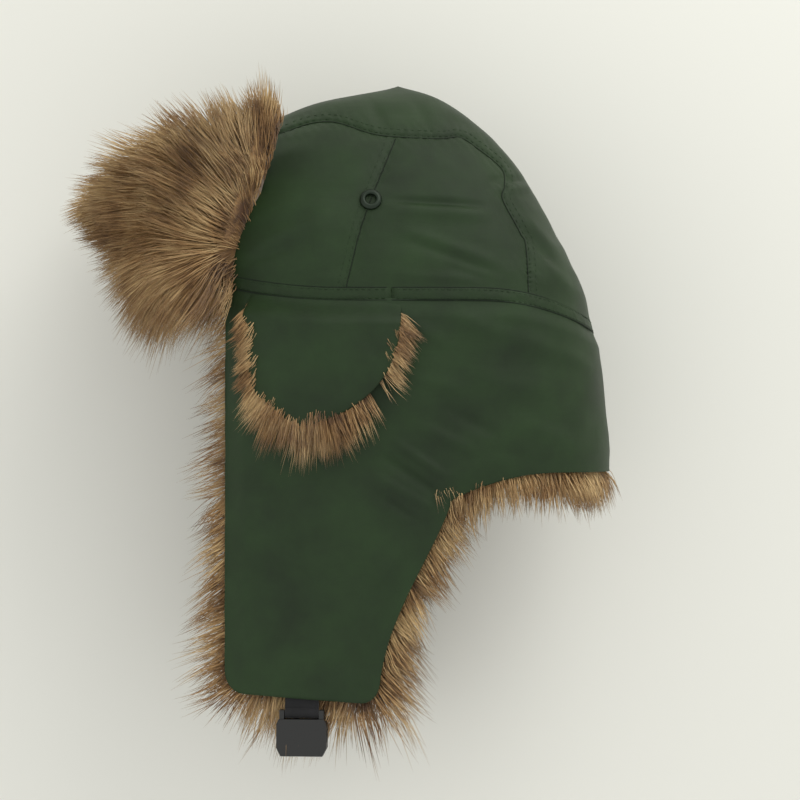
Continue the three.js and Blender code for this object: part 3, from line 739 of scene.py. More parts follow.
def makeEyelet(name):
    size = eyeletLook
    bore, flange, crown = size["bore"], size["flange"], size["crown"]
    bm = bmesh.new()
    profile = [
        (bore, -2.5 * mm), (bore, 0.6 * mm), (bore + 0.6 * mm, crown),
        (flange - 1.6 * mm, crown * 0.9), (flange - 0.4 * mm, 0.6 * mm), (flange, -0.3 * mm),
        (flange - 1.2 * mm, -0.8 * mm), (bore + 1.1 * mm, -0.8 * mm), (bore + 1.1 * mm, -2.5 * mm),
    ]
    corners = [bm.verts.new((r, 0, h)) for r, h in profile]
    edges = [bm.edges.new((a, b)) for a, b in zip(corners, corners[1:] + corners[:1])]
    bmesh.ops.spin(
        bm, geom=corners + edges, cent=(0, 0, 0), axis=(0, 0, 1), angle=2 * math.pi, steps=48,
        use_merge=True, use_duplicate=False,
    )
    bmesh.ops.remove_doubles(bm, verts=bm.verts, dist=0.01 * mm)
    hit, normal, _, _ = crownSurface.ray_cast(Vector((0.2, size["y"], size["z"])), Vector((-1, 0, 0)))
    normal = normal if normal.x > 0 else -normal
    turn = Vector((0, 0, 1)).rotation_difference(normal).to_matrix().to_4x4()
    seat = Matrix.Translation(hit + normal * size["stands"])
    bmesh.ops.transform(bm, matrix=seat @ turn, verts=bm.verts)
    return objectFrom(name, bm, [paintedEyelet])


leftEyelet = makeEyelet("leftEyelet")
rightEyelet = mirroredCopy(leftEyelet, "rightEyelet")
for eyelet, node in ((leftEyelet, "left_vent_eyelet"), (rightEyelet, "right_vent_eyelet")):
    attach(eyelet, "crown")
    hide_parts(node)

print("stage: ear flaps and neck guard")

# ---- lower shell: each ear flap and its half of the neck guard in one cloth ----

lowerLook = {
    "columns": 270,
    "rows": 130,
    "puff": 2.0 * mm,
    "ripple": 1.8 * mm,
    "rim": 6.8 * mm,  # how far the cloth turns in over the edge of the padding
    "rimShare": 0.045,
    "overEdge": 0.9 * mm,
    "neckHem": -102 * mm,
    "notchDrop": 16 * mm,
    "notchEndY": alongHead(0.75),
    "flare": 11 * mm,
    "tuck": 5 * mm,
    "flapUntil": 12 * mm,  # the cloth has the ear flap's shape up to this y, and the neck's from neckFrom
    "neckFrom": 56 * mm,
    "cloth": 0.8 * mm,
    "bendFrom": 62 * mm,  # the cloth follows the crown behind this y, and the ear flap in front of bendTo
    "bendTo": 10 * mm,
}
lowerFolds = [
    (0, -84, 30, -104, 3, 1.6), (-8, -92, 28, -116, 3, -1.7), (-12, -104, 24, -124, 3, 1.3),
    (14, -74, 44, -88, 4, 1.3), (-14, -112, 16, -132, 2.5, -1.1), (30, -64, 60, -80, 4, -1.0),
    (4, -12, 30, -26, 5, 1.1), (36, -10, 64, -20, 5, 1.0), (70, -22, 96, -32, 6, 1.1),
    (-92, -112, -62, -124, 6, 1.0), (-88, -130, -54, -148, 6, -0.8), (50, -46, 92, -56, 7, 1.0),
    (-80, -196, -40, -204, 7, 0.9), (6, -46, 40, -52, 5, 1.0), (70, -72, 104, -84, 6, 1.0),
    (-12, -168, 4, -146, 4, 1.0), (96, -30, 116, -40, 5, 0.9), (-94, -170, -74, -226, 6, 0.7),
    (56, -88, 84, -96, 5, -0.8), (-20, -212, -16, -184, 5, 0.7),
]


def cornerInset(v):
    start = 1 - flapShape["cornerLength"] / flapShape["length"]
    into = min(1, max(0, (v - start) / (1 - start)))
    return flapShape["cornerRadius"] * (1 - math.sqrt(1 - into**2))


def rearEdgeY(v):
    start = flapShape["taperStart"]
    below = min(1, max(0, (v - start) / (1 - start)))
    taper = flapShape["rearTaper"] * math.sin(below * math.pi / 2) ** 1.3
    return flapShape["splitY"] - taper - cornerInset(v)


def hemAt(y):
    return flapShape["hemZ"] + flapShape["hemSlope"] * (rearEdgeY(1) - y)


def neckHemAt(y):
    fall = max(0, (lowerLook["notchEndY"] - y) / (lowerLook["notchEndY"] - flapShape["splitY"]))
    return lowerLook["neckHem"] - lowerLook["notchDrop"] * fall**2


# the free edge from the ear flap's front corner to the back of the neck, as (plan angle, z) points
def freeEdgeLine():
    over = lowerLook["overEdge"]
    front, split = flapShape["frontY"], flapShape["splitY"]
    corner = 1 - flapShape["cornerLength"] / flapShape["length"]
    line = []
    for n in range(13):
        v = mix(corner, 1, math.sin(n / 12 * math.pi / 2))
        y = front - over + cornerInset(v)
        line.append((y, mix(seamHeight(front), hemAt(y), v) - over))
    for n in range(1, 40):
        y = mix(line[12][0], rearEdgeY(1), n / 40)
        line.append((y, hemAt(y) - over))
    for n in range(73):
        if n < 13:
            v = mix(1, corner, 1 - math.cos(n / 12 * math.pi / 2))
        else:
            v = mix(corner, flapShape["taperStart"], (n - 12) / 60)
        y = rearEdgeY(v) + over
        z = mix(0, hemAt(y), v) - over
        if z > neckHemAt(split):
            break
        line.append((y, z))
    line = [(planAngle(y), z) for y, z in line]
    start = line[-1][0]
    for n in range(1, 91):
        angle = mix(start, math.pi / 2, n / 90)
        line.append((angle, neckHemAt(planPoint(angle)[1])))
    return line


def evenly(line, place, count):
    sums = [0.0]
    for a, b in zip(line, line[1:]):
        sums.append(sums[-1] + (place(b) - place(a)).length)
    made, k = [], 0
    for n in range(count + 1):
        goal = sums[-1] * n / count
        while k < len(sums) - 2 and sums[k + 1] < goal:
            k += 1
        t = (goal - sums[k]) / max(1e-9, sums[k + 1] - sums[k])
        made.append(tuple(mix(a, b, t) for a, b in zip(line[k], line[k + 1])))
    return made


neckCentreY = 10 * mm


# the way out from the head at the neck
def neckOutward(x, y):
    return Vector((x, (y - neckCentreY) * 1.2, 0)).normalized()


# the cloth's outer face under a point of the crown seam, at height z
def lowerSkin(x, y, z):
    drop = seamHeight(y) - z
    share = min(1.2, drop / (seamHeight(y) - lowerLook["neckHem"]))
    back = max(0, (y - flapShape["splitY"]) / (alongHead(1) - flapShape["splitY"]))
    skinX = x * (1 - lowerLook["tuck"] / crownShape["halfWidth"] * share * (1 - back))
    onNeck = smooth(y, lowerLook["flapUntil"], lowerLook["neckFrom"])
    if onNeck < 1:
        skinX = mix(flapSkin(y, z).x, skinX, onNeck)
    return Vector((skinX, y + lowerLook["flare"] * share * back, z))


def onLowerSkin(spot):
    x, y = planPoint(spot[0])
    return lowerSkin(x, y, spot[1])


edgeSteps = 600
lowerEdge = evenly(freeEdgeLine(), onLowerSkin, edgeSteps)
edgeSpots = [onLowerSkin(spot) for spot in lowerEdge]
edgeSpots += [flapSkin(flapShape["frontY"], -z * mm) for z in range(0, int(-flapShape["hemZ"] / mm), 2)]
edgeTree = kdtree.KDTree(len(edgeSpots))
for number, spot in enumerate(edgeSpots):
    edgeTree.insert(spot, number)
edgeTree.balance()


def lowerPlace(u, v):
    look = lowerLook
    share = look["rimShare"]
    rimU, rimV = max(0, 1 - 2 * u / share), max(0, (v - 1) / share + 1)
    place = max(0, (u - share / 2) / (1 - share / 2)) * edgeSteps
    k = min(edgeSteps - 1, int(place))
    angle, bottom = (mix(a, b, place - k) for a, b in zip(lowerEdge[k], lowerEdge[k + 1]))
    x, y = planPoint(angle)
    top = seamHeight(y) + 1.5 * mm
    z = mix(top, bottom, min(1, v / (1 - share)))
    point = lowerSkin(x, y, z)
    if y < alongHead(0.5):
        outward = -flapInward(y, z)
    else:
        outward = neckOutward(x, y)
    edge = edgeTree.find(point)[2]
    belly = smooth(edge, 0, 15 * mm) * smooth(top - z, 0, 12 * mm)
    lift = look["puff"] * belly + 0.7 * mm * math.sqrt(min(1, edge / (3 * mm)))
    wide = noise.noise(Vector((point.x * 4, point.y * 16, point.z * 12)))
    lift += look["ripple"] * wide * (0.25 + 0.75 * belly)
    lift += 0.35 * look["ripple"] * noise.noise(Vector((point.x * 40, point.y * 34, point.z * 70)))
    lift += foldLift(point.y, point.z, lowerFolds) * (0.3 + 0.7 * belly) * 1.2
    lift = max(0.3 * mm, lift) * mix(0.5, 1, smooth(abs(x), 0, 12 * mm))
    return point + outward * (lift - look["rim"] * max(rimU, rimV))


lowerGrid = gridOver(lowerPlace, lowerLook["columns"], lowerLook["rows"])
leftLower = objectFrom("leftLowerShell", lowerGrid, [greenNylon])
addThickness(leftLower, lowerLook["cloth"])
applyModifiers(leftLower)
rightLower = mirroredCopy(leftLower, "rightLowerShell")
for lower, side in ((leftLower, "left"), (rightLower, "right")):
    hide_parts(side + "_flap_shell", "neck_guard_shell")
    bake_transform(lower)


# the turned-in cloth that joins each ear flap to the band
stripLook = {"over": 1 * mm, "drop": 22 * mm, "depth": 0.9 * mm, "cloth": 0.5 * mm}


def foldStripPlace(u, v):
    y = mix(flapShape["frontY"] + 2 * mm, lowerLook["bendTo"], u)
    z = seamHeight(y) + stripLook["over"] - stripLook["drop"] * v
    return flapSkin(y, z) + flapInward(y, z) * stripLook["depth"]


leftStrip = objectFrom("leftFoldStrip", gridOver(foldStripPlace, 90, 24), [greenNylon])
addThickness(leftStrip, stripLook["cloth"], 0)
applyModifiers(leftStrip)
rightStrip = mirroredCopy(leftStrip, "rightFoldStrip")
for strip, side in ((leftStrip, "left"), (rightStrip, "right")):
    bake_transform(strip)

# a layer at some depth under the neck guard's cloth, from one ear round the nape to the other
def insideNeck(u, v, fromY, aboveHem, depth):
    start = planAngle(fromY)
    x, y = planPoint(mix(start, math.pi - start, u))
    point = lowerSkin(abs(x), y, mix(seamHeight(y) - 2 * mm, neckHemAt(y) + aboveHem, v))
    point.x = math.copysign(point.x, x)
    return point - neckOutward(x, y) * depth


# the neck guard's wadding, kept clear of where the cloth bends with the ear flaps
neckPad = {"fromY": 64 * mm, "aboveHem": 7 * mm, "depth": 4.3 * mm, "thickness": 5.2 * mm}


def neckPadPlace(u, v):
    return insideNeck(u, v, neckPad["fromY"], neckPad["aboveHem"], neckPad["depth"])


neckWadding = objectFrom("neckGuardWadding", gridOver(neckPadPlace, 80, 20), [wadding])
addThickness(neckWadding, neckPad["thickness"], 0)
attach(neckWadding, "crown")
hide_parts("neck_guard_batting")

print("stage: ear covers")

# ---- ear covers ----

coverLook = {
    "frontY": alongHead(-0.676),
    "rearY": alongHead(0.045),
    "tipY": alongHead(-0.409),
    "length": 75 * mm,
    "stands": 10.9 * mm,
    "columns": 110,
    "rows": 100,
    "rimShare": 0.05,
    "puff": 1.4 * mm,
    "edgeDrop": 0.9 * mm,
    "turnIn": 3.4 * mm,
    "ripple": 0.9 * mm,
    "cloth": 0.9 * mm,
}
coverFolds = [
    (-78, -20, -60, -34, 5, 0.9), (-40, -14, -30, -44, 6, 0.8),
    (-66, -48, -44, -56, 5, 0.8), (-20, -18, -10, -34, 4, -0.7),
]


def coverOutline(u, v, beyond=0.0):
    fall = min(v, 0.995)
    past = beyond * smooth(v, 0, 0.3)
    front = (1 - fall**6) ** 0.9
    rear = (1 - fall**3) ** 0.8
    look = coverLook
    frontY = look["tipY"] - (look["tipY"] - look["frontY"] + past) * front
    rearY = look["tipY"] + (look["rearY"] - look["tipY"] + past) * rear
    y = mix(frontY, rearY, u)
    return y, seamHeight(y) - mix(-0.5 * mm, look["length"] + beyond, v)


def coverPlace(u, v):
    look, rim = coverLook, coverLook["rimShare"]
    turned = max(0, 1 - u / rim, 1 - (1 - u) / rim, (v - 1) / rim + 1)
    u, v = min(1, max(0, (u - rim) / (1 - 2 * rim))), min(1, v / (1 - rim))
    y, z = coverOutline(u, v)
    edge = min(u, 1 - u) * 80 * mm * (1 - v**6) + 0.2 * mm
    edge = min(edge, (1 - v) * look["length"])
    lift = look["puff"] * smooth(edge, 0, 14 * mm)
    lift -= look["edgeDrop"] * (1 - math.sqrt(min(1, edge / (3 * mm)))) + look["turnIn"] * turned
    lift += look["ripple"] * noise.noise(Vector((0, y * 24, z * 24)))
    lift += foldLift(y, z, coverFolds)
    stands = mix(0.8 * mm, look["stands"], smooth(v, 0, 0.2))  # sewn flat under the band
    lift *= mix(0.4, 1, smooth(v, 0, 0.12))
    return flapSkin(y, z) - flapInward(y, z) * (stands + lift)


coverGrid = gridOver(coverPlace, coverLook["columns"], coverLook["rows"])
leftCover = objectFrom("leftCoverShell", coverGrid, [greenNylon])
addThickness(leftCover, coverLook["cloth"])
applyModifiers(leftCover)
rightCover = mirroredCopy(leftCover, "rightCoverShell")
for cover, side in ((leftCover, "left"), (rightCover, "right")):
    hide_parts(side + "_cover_shell")
    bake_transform(cover)

print("stage: front flap")

# ---- front flap ----

browLook = {
    "standOff": 4 * mm,
    "lift": 2 * mm,
    "columns": 170,
    "rows": 70,
    "rim": 6.6 * mm,
    "rimShare": 0.04,
    "ripple": 0.8 * mm,
    "sag": 0.6 * mm,
    "cloth": 0.9 * mm,
    "padFrom": 1.5 * mm,
    "padThickness": 4 * mm,
}
# the free edge's corners, as shares of the crown's half-width, half-length and height
freeCorners = [
    Vector((across * crownShape["halfWidth"], alongHead(along), up * crownShape["height"]))
    for across, along, up in (
        (0.856, -0.595, 0.855), (0.711, -1.032, 0.748), (0, -1.405, 0.55),
        (-0.711, -1.032, 0.748), (-0.856, -0.595, 0.855),
    )
]


def freeEdge(u):
    spans = len(freeCorners) - 1
    place = min(1, max(0, u)) * spans
    k = min(spans - 1, int(place))
    first, last = 2 * freeCorners[0] - freeCorners[1], 2 * freeCorners[-1] - freeCorners[-2]
    corners = [first, *freeCorners, last]  # the ends run on straight
    return throughPoints(*corners[k : k + 4], place - k)


def browSkin(u, v):
    start = planAngle(flapShape["frontY"])
    x, y = planPoint(mix(start, -math.pi - start, u), -browLook["standOff"])
    base = Vector((x, y, seamHeight(y) + browLook["lift"]))
    return base.lerp(freeEdge(u), v)


def browOutward(u, v):
    e = 0.004
    alongU = browSkin(min(1, u + e), v) - browSkin(max(0, u - e), v)
    alongV = browSkin(u, v + e) - browSkin(u, v - e)
    return alongV.cross(alongU).normalized()


outwardSign = 1 if browOutward(0.5, 0.5).y < 0 else -1


def browPlace(u, v):
    share = browLook["rimShare"]
    turned = max(0, 1 - u / share, 1 - (1 - u) / share, (v - 1) / share + 1)
    u = min(1.006, max(-0.006, mix(-0.006, 1.006, (u - share) / (1 - 2 * share))))
    v = mix(0, 1.01, min(1, v / (1 - share)))
    lift = browLook["ripple"] * noise.noise(Vector((u * 9, v * 5, 2)))
    lift -= browLook["sag"] * math.sin(math.pi * min(1, v))
    return browSkin(u, v) + browOutward(u, v) * outwardSign * (lift + browLook["rim"] * turned)


browGrid = gridOver(browPlace, browLook["columns"], browLook["rows"])
browShell = objectFrom("frontFlapShell", browGrid, [greenNylon])
addThickness(browShell, browLook["cloth"], 0)
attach(browShell, "front_flap")
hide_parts("front_flap_shell")


def browPadPlace(u, v):
    across, up = mix(0.02, 0.98, u), mix(0.01, 0.95, v)
    middle = browLook["padFrom"] + browLook["padThickness"] / 2
    return browSkin(across, up) + browOutward(across, up) * outwardSign * middle


browPad = objectFrom("frontFlapWadding", gridOver(browPadPlace, 60, 24), [wadding])
addThickness(browPad, browLook["padThickness"], 0)
softEdge = browPad.modifiers.new("softEdge", "BEVEL")
softEdge.width = 1.2 * mm
softEdge.segments = 2
softEdge.angle_limit = math.radians(50)
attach(browPad, "front_flap")
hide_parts("front_flap_batting")


# the fold of cloth from the band's foot out to the front flap
def browStripPlace(u, v):
    start = planAngle(flapShape["frontY"])
    x, y = planPoint(mix(start, -math.pi - start, u), -browLook["standOff"] * smooth(v, 0, 0.4))
    dip = -3 * mm * math.sin(math.pi * min(1, v / 0.45)) if v < 0.45 else 0
    rise = 18 * mm * max(0, (v - 0.4) / 0.6)
    base = Vector((x, y, seamHeight(y) + 0.5 * mm + dip))
    if rise:
        base = browSkin(u, rise / (95 * mm)) + browOutward(u, 0.1) * outwardSign * -0.7 * mm
    return base


browStrip = objectFrom("browFoldStrip", gridOver(browStripPlace, 140, 30), [greenNylon])
addThickness(browStrip, stripLook["cloth"], 0)
applyModifiers(browStrip)
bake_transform(browStrip)

print("stage: fur")

# ---- fur: a pile skin with real strands grown on it ----

strandPoints = 4
profileSides = 3


def link(tree, a, b):
    tree.links.new(a, b)


def addNode(tree, kind, **settings):
    node = tree.nodes.new(kind)
    for key, value in settings.items():
        setattr(node, key, value)
    return node


def named(tree, name, kind):
    node = addNode(tree, "GeometryNodeInputNamedAttribute", data_type=kind)
    node.inputs["Name"].default_value = name
    return node.outputs["Attribute"]


def storeOn(tree, geometry, name, kind, value):
    node = addNode(tree, "GeometryNodeStoreNamedAttribute", data_type=kind, domain="POINT")
    node.inputs["Name"].default_value = name
    link(tree, geometry, node.inputs["Geometry"])
    link(tree, value, node.inputs["Value"])
    return node.outputs["Geometry"]


def maths(tree, operation, a, b=None, c=None):
    node = addNode(tree, "ShaderNodeMath", operation=operation)
    for socket, value in zip(node.inputs, (a, b, c)):
        if value is None:
            continue
        if isinstance(value, (int, float)):
            socket.default_value = value
        else:
            link(tree, value, socket)
    return node.outputs[0]


def vectors(tree, operation, a, b=None, scale=None):
    node = addNode(tree, "ShaderNodeVectorMath", operation=operation)
    link(tree, a, node.inputs[0])
    if b is not None:
        link(tree, b, node.inputs[1])
    if scale is not None:
        if isinstance(scale, (int, float)):
            node.inputs["Scale"].default_value = scale
        else:
            link(tree, scale, node.inputs["Scale"])
    return node.outputs[0]


def randomValue(tree, kind, low, high, seed):
    node = addNode(tree, "FunctionNodeRandomValue", data_type=kind)
    offset = 0 if kind == "FLOAT_VECTOR" else 2
    node.inputs[offset].default_value = low
    node.inputs[offset + 1].default_value = high
    node.inputs["Seed"].default_value = seed
    return node.outputs[0 if kind == "FLOAT_VECTOR" else 1]


# the skin carries comb (which way the pile lies), pile (its length) and cover (how thickly it grows)
def growFur(skin, look, material):
    tree = bpy.data.node_groups.new(skin.name + "Pile", "GeometryNodeTree")
    tree.interface.new_socket("Geometry", in_out="INPUT", socket_type="NodeSocketGeometry")
    tree.interface.new_socket("Geometry", in_out="OUTPUT", socket_type="NodeSocketGeometry")
    source = addNode(tree, "NodeGroupInput").outputs[0]
    sink = addNode(tree, "NodeGroupOutput").inputs[0]

    scatter = addNode(tree, "GeometryNodeDistributePointsOnFaces", distribute_method="RANDOM")
    link(tree, source, scatter.inputs["Mesh"])
    density = maths(tree, "MULTIPLY", named(tree, "cover", "FLOAT"), look["density"])
    link(tree, density, scatter.inputs["Density"])
    scatter.inputs["Seed"].default_value = look["seed"]

    points = scatter.outputs["Points"]
    here = addNode(tree, "GeometryNodeInputPosition").outputs[0]
    points = storeOn(tree, points, "rootAt", "FLOAT_VECTOR", here)
    points = storeOn(tree, points, "rootUp", "FLOAT_VECTOR", scatter.outputs["Normal"])
    points = storeOn(tree, points, "vary", "FLOAT", randomValue(tree, "FLOAT", 0.0, 1.0, look["seed"] + 1))
    spray = randomValue(tree, "FLOAT_VECTOR", (-1, -1, -1), (1, 1, 1), look["seed"] + 2)
    points = storeOn(tree, points, "spray", "FLOAT_VECTOR", spray)

    line = addNode(tree, "GeometryNodeCurvePrimitiveLine")
    line.inputs["End"].default_value = (0, 0, 0.01)
    resample = addNode(tree, "GeometryNodeResampleCurve")
    resample.inputs["Count"].default_value = strandPoints
    link(tree, line.outputs["Curve"], resample.inputs["Curve"])
    instance = addNode(tree, "GeometryNodeInstanceOnPoints")
    link(tree, points, instance.inputs["Points"])
    link(tree, resample.outputs["Curve"], instance.inputs["Instance"])
    realize = addNode(tree, "GeometryNodeRealizeInstances")
    link(tree, instance.outputs["Instances"], realize.inputs["Geometry"])

    t = addNode(tree, "GeometryNodeSplineParameter").outputs["Factor"]
    t2 = maths(tree, "MULTIPLY", t, t)
    root = named(tree, "rootAt", "FLOAT_VECTOR")
    up = named(tree, "rootUp", "FLOAT_VECTOR")
    comb = named(tree, "comb", "FLOAT_VECTOR")
    vary = named(tree, "vary", "FLOAT")
    spread = named(tree, "spray", "FLOAT_VECTOR")
    uneven = maths(tree, "MULTIPLY_ADD", vary, 0.5, 0.72)
    length = maths(tree, "MULTIPLY", named(tree, "pile", "FLOAT"), uneven)

    droop = maths(tree, "MULTIPLY", t2, look["rise"] * 0.5)
    rise = maths(tree, "SUBTRACT", maths(tree, "MULTIPLY", t, look["rise"]), droop)
    lay = maths(tree, "ADD", maths(tree, "MULTIPLY", t, 0.45), maths(tree, "MULTIPLY", t2, 0.55))
    scatterBy = maths(tree, "MULTIPLY", t, look["spread"])
    shape = vectors(tree, "SCALE", up, scale=rise)
    shape = vectors(tree, "ADD", shape, vectors(tree, "SCALE", comb, scale=lay))
    shape = vectors(tree, "ADD", shape, vectors(tree, "SCALE", spread, scale=scatterBy))

    lock = addNode(tree, "ShaderNodeTexVoronoi")
    lock.inputs["Scale"].default_value = look["lockScale"]
    link(tree, root, lock.inputs["Vector"])
    pull = vectors(tree, "SUBTRACT", lock.outputs["Position"], root)
    pull = vectors(tree, "SCALE", pull, scale=maths(tree, "MULTIPLY", t2, look["clump"]))

    sway = addNode(tree, "ShaderNodeTexNoise")
    sway.inputs["Scale"].default_value = look["swayScale"]
    sway.inputs["Detail"].default_value = 2
    drift = vectors(tree, "SCALE", comb, scale=maths(tree, "MULTIPLY", t, 0.012))
    link(tree, vectors(tree, "ADD", lock.outputs["Position"], drift), sway.inputs["Vector"])
    half = addNode(tree, "ShaderNodeCombineXYZ")
    for socket in half.inputs:
        socket.default_value = 0.5
    bend = vectors(tree, "SUBTRACT", sway.outputs["Color"], half.outputs[0])
    swayBy = maths(tree, "MULTIPLY", t, look["sway"])
    shape = vectors(tree, "ADD", shape, vectors(tree, "SCALE", bend, scale=swayBy))

    place = vectors(tree, "ADD", root, vectors(tree, "SCALE", shape, scale=length))
    place = vectors(tree, "ADD", place, pull)
    setPlace = addNode(tree, "GeometryNodeSetPosition")
    link(tree, realize.outputs["Geometry"], setPlace.inputs["Geometry"])
    link(tree, place, setPlace.inputs["Position"])

    lockTone = addNode(tree, "ShaderNodeTexNoise")
    lockTone.inputs["Scale"].default_value = look["lockScale"] * 1.3
    link(tree, lock.outputs["Position"], lockTone.inputs["Vector"])
    tone = maths(tree, "MULTIPLY_ADD", lockTone.outputs["Fac"], 0.7, maths(tree, "MULTIPLY", vary, 0.3))
    strands = storeOn(tree, setPlace.outputs["Geometry"], "along", "FLOAT", t)
    strands = storeOn(tree, strands, "tone", "FLOAT", tone)
    taper = maths(tree, "MULTIPLY", maths(tree, "SUBTRACT", 1.06, t2), look["radius"])
    setRadius = addNode(tree, "GeometryNodeSetCurveRadius")
    link(tree, strands, setRadius.inputs["Curve"])
    link(tree, taper, setRadius.inputs["Radius"])
    circle = addNode(tree, "GeometryNodeCurvePrimitiveCircle")
    circle.inputs["Resolution"].default_value = profileSides
    circle.inputs["Radius"].default_value = 1
    toMesh = addNode(tree, "GeometryNodeCurveToMesh")
    link(tree, setRadius.outputs["Curve"], toMesh.inputs["Curve"])
    link(tree, circle.outputs["Curve"], toMesh.inputs["Profile Curve"])
    link(tree, taper, toMesh.inputs["Scale"])
    toMesh.inputs["Fill Caps"].default_value = True
    finish = addNode(tree, "GeometryNodeSetMaterial")
    finish.inputs["Material"].default_value = material
    link(tree, toMesh.outputs["Mesh"], finish.inputs["Geometry"])

    join = addNode(tree, "GeometryNodeJoinGeometry")
    link(tree, finish.outputs["Geometry"], join.inputs["Geometry"])
    link(tree, source, join.inputs["Geometry"])
    link(tree, join.outputs["Geometry"], sink)
    coat = skin.modifiers.new("pile", "NODES")
    coat.node_group = tree


# writes the growth values on a skin: rule(point, normal) gives (comb, length, cover), for the left side
def combSkin(skin, rule, side=1):
    mesh = skin.data
    flip = Vector((side, 1, 1))
    rules = [rule(v.co * flip, v.normal * flip) for v in mesh.vertices]
    count = len(rules)
    values = {
        "pile": [length for _, length, _ in rules],
        "cover": [thickness for _, _, thickness in rules],
        # this along value gives the skin the strands' painted root shade
        "along": [0.22] * count,
        "tone": [0.3] * count,
    }
    mesh.attributes.new("comb", "FLOAT_VECTOR", "POINT")
    mesh.attributes["comb"].data.foreach_set("vector", [c for comb, _, _ in rules for c in comb * flip])
    for name, numbers in values.items():
        mesh.attributes.new(name, "FLOAT", "POINT")
        mesh.attributes[name].data.foreach_set("value", numbers)


# a thin closed pad between two depths of a surface
def pileSkin(name, place, columns, rows, thickness):
    skin = objectFrom(name, gridOver(place, columns, rows), [brownFur])
    addThickness(skin, thickness, 0)
    applyModifiers(skin)
    return skin


furLook = {
    "density": 300000,  # strands to the square metre where cover is 1
    "rise": 0.5,
    "spread": 0.17,
    "lockScale": 115,
    "clump": 0.55,
    "swayScale": 50,
    "sway": 1.0,
    "radius": 0.31 * mm,
}

# ear flaps

flapFur = {"depth": 10.5 * mm, "thickness": 5 * mm, "length": 23 * mm, "inside": 0.16}


def flapFurPlace(u, v):
    corner = cornerInset(v)
    y = mix(flapShape["frontY"] + 0.5 * mm + corner, rearEdgeY(v), u)
    z = mix(seamHeight(y) - 8 * mm, hemAt(y) + 1 * mm, v)
    return flapSkin(y, z) + flapInward(y, z) * flapFur["depth"]


def flapComb(point, normal):
    y, z = point.y, point.z
    v = min(1, max(0, (seamHeight(y) - z) / (seamHeight(y) - hemAt(y))))
    onFront = 1 - smooth(y - flapShape["frontY"], 2 * mm, 20 * mm)
    onHem = 1 - smooth(z - hemAt(y), 2 * mm, 20 * mm)
    onRear = (1 - smooth(rearEdgeY(v) - y, 2 * mm, 14 * mm)) * smooth(v, 0.42, 0.52)
    direction = Vector((-0.2, -0.85 * onFront + 0.6 * onRear, -0.5 - 0.4 * max(onHem, onRear)))
    direction.y -= 0.25 * onHem
    edge = max(onFront, onHem, onRear)
    topFade = smooth(seamHeight(y) - z, 6 * mm, 22 * mm)
    low = smooth(v, 0.7, 0.97)
    length = flapFur["length"] * mix(0.8, 1.1, edge) * mix(0.55, 1, topFade)
    length *= mix(1, mix(0.8, 1.15, low), onRear) * mix(1, 1.1, onHem * (1 - onFront))
    cover = mix(flapFur["inside"], 1, edge)
    if normal.x > 0.4 and edge < 0.85:
        cover = 0  # nothing grows under the padding
    return direction.normalized(), length, cover


leftFlapFur = pileSkin("leftFlapFur", flapFurPlace, 60, 110, flapFur["thickness"])
rightFlapFur = mirroredCopy(leftFlapFur, "rightFlapFur")
for fur, name, side in ((leftFlapFur, "left", 1), (rightFlapFur, "right", -1)):
    combSkin(fur, flapComb, side)
    growFur(fur, furLook | {"seed": 20 + side, "density": 520000}, brownFur)
    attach(fur, name + "_ear_flap")
    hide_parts(name + "_flap_fur")

# neck guard

neckFur = {
    "fromY": 30 * mm,
    "aboveHem": 1 * mm,
    "depth": 10.5 * mm,
    "thickness": 5 * mm,
    "length": 20 * mm,
    "inside": 0.16,
}


def neckFurPlace(u, v):
    return insideNeck(u, v, neckFur["fromY"], neckFur["aboveHem"], neckFur["depth"])


def neckComb(point, normal):
    low = 1 - smooth(point.z, -100 * mm, -82 * mm)
    back = Vector((point.x, point.y - neckCentreY, 0)).normalized()
    direction = Vector((0, 0, -1)) + back * mix(-0.3, 0.15, low)
    cover = mix(neckFur["inside"], 1, low)
    if normal.dot(back) > 0.4 and low < 0.85:
        cover = 0
    return direction.normalized(), neckFur["length"] * mix(0.9, 1, low), cover


neckPile = pileSkin("neckGuardFur", neckFurPlace, 110, 40, neckFur["thickness"])
combSkin(neckPile, neckComb)
growFur(neckPile, furLook | {"seed": 31, "density": 560000}, brownFur)
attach(neckPile, "crown")
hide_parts("neck_guard_fur")

# ear covers

coverFur = {"depth": 6.6 * mm, "thickness": 3.5 * mm, "side": 11 * mm, "tip": 22 * mm}


def coverFurPlace(u, v):
    fall = mix(0.1, 1, v)
    y, z = coverOutline(u, fall, -1.5 * mm)
    return flapSkin(y, z) - flapInward(y, z) * mix(0, coverFur["depth"], smooth(fall, 0, 0.22))


def coverComb(point, normal):
    look = coverLook
    if point.y < look["tipY"]:
        beside = (point.y - look["tipY"]) / (look["tipY"] - look["frontY"])
    else:
        beside = (point.y - look["tipY"]) / (look["rearY"] - look["tipY"])
    fall = min(1, max(0, (seamHeight(point.y) - point.z) / look["length"]))
    outline = max(abs(beside), fall * (1 + 0.12 * abs(beside)))
    low = smooth(fall, 0.45, 0.95)
    direction = Vector((0.12, 0.75 * beside, -0.75 - 0.3 * low))
    cover = smooth(outline, 0.74, 0.9) * smooth(fall, 0.08, 0.14)
    beforeTip = coverFur["side"] * (1.25 if beside > 0 else 1)
    return direction.normalized(), mix(beforeTip, coverFur["tip"], low), cover


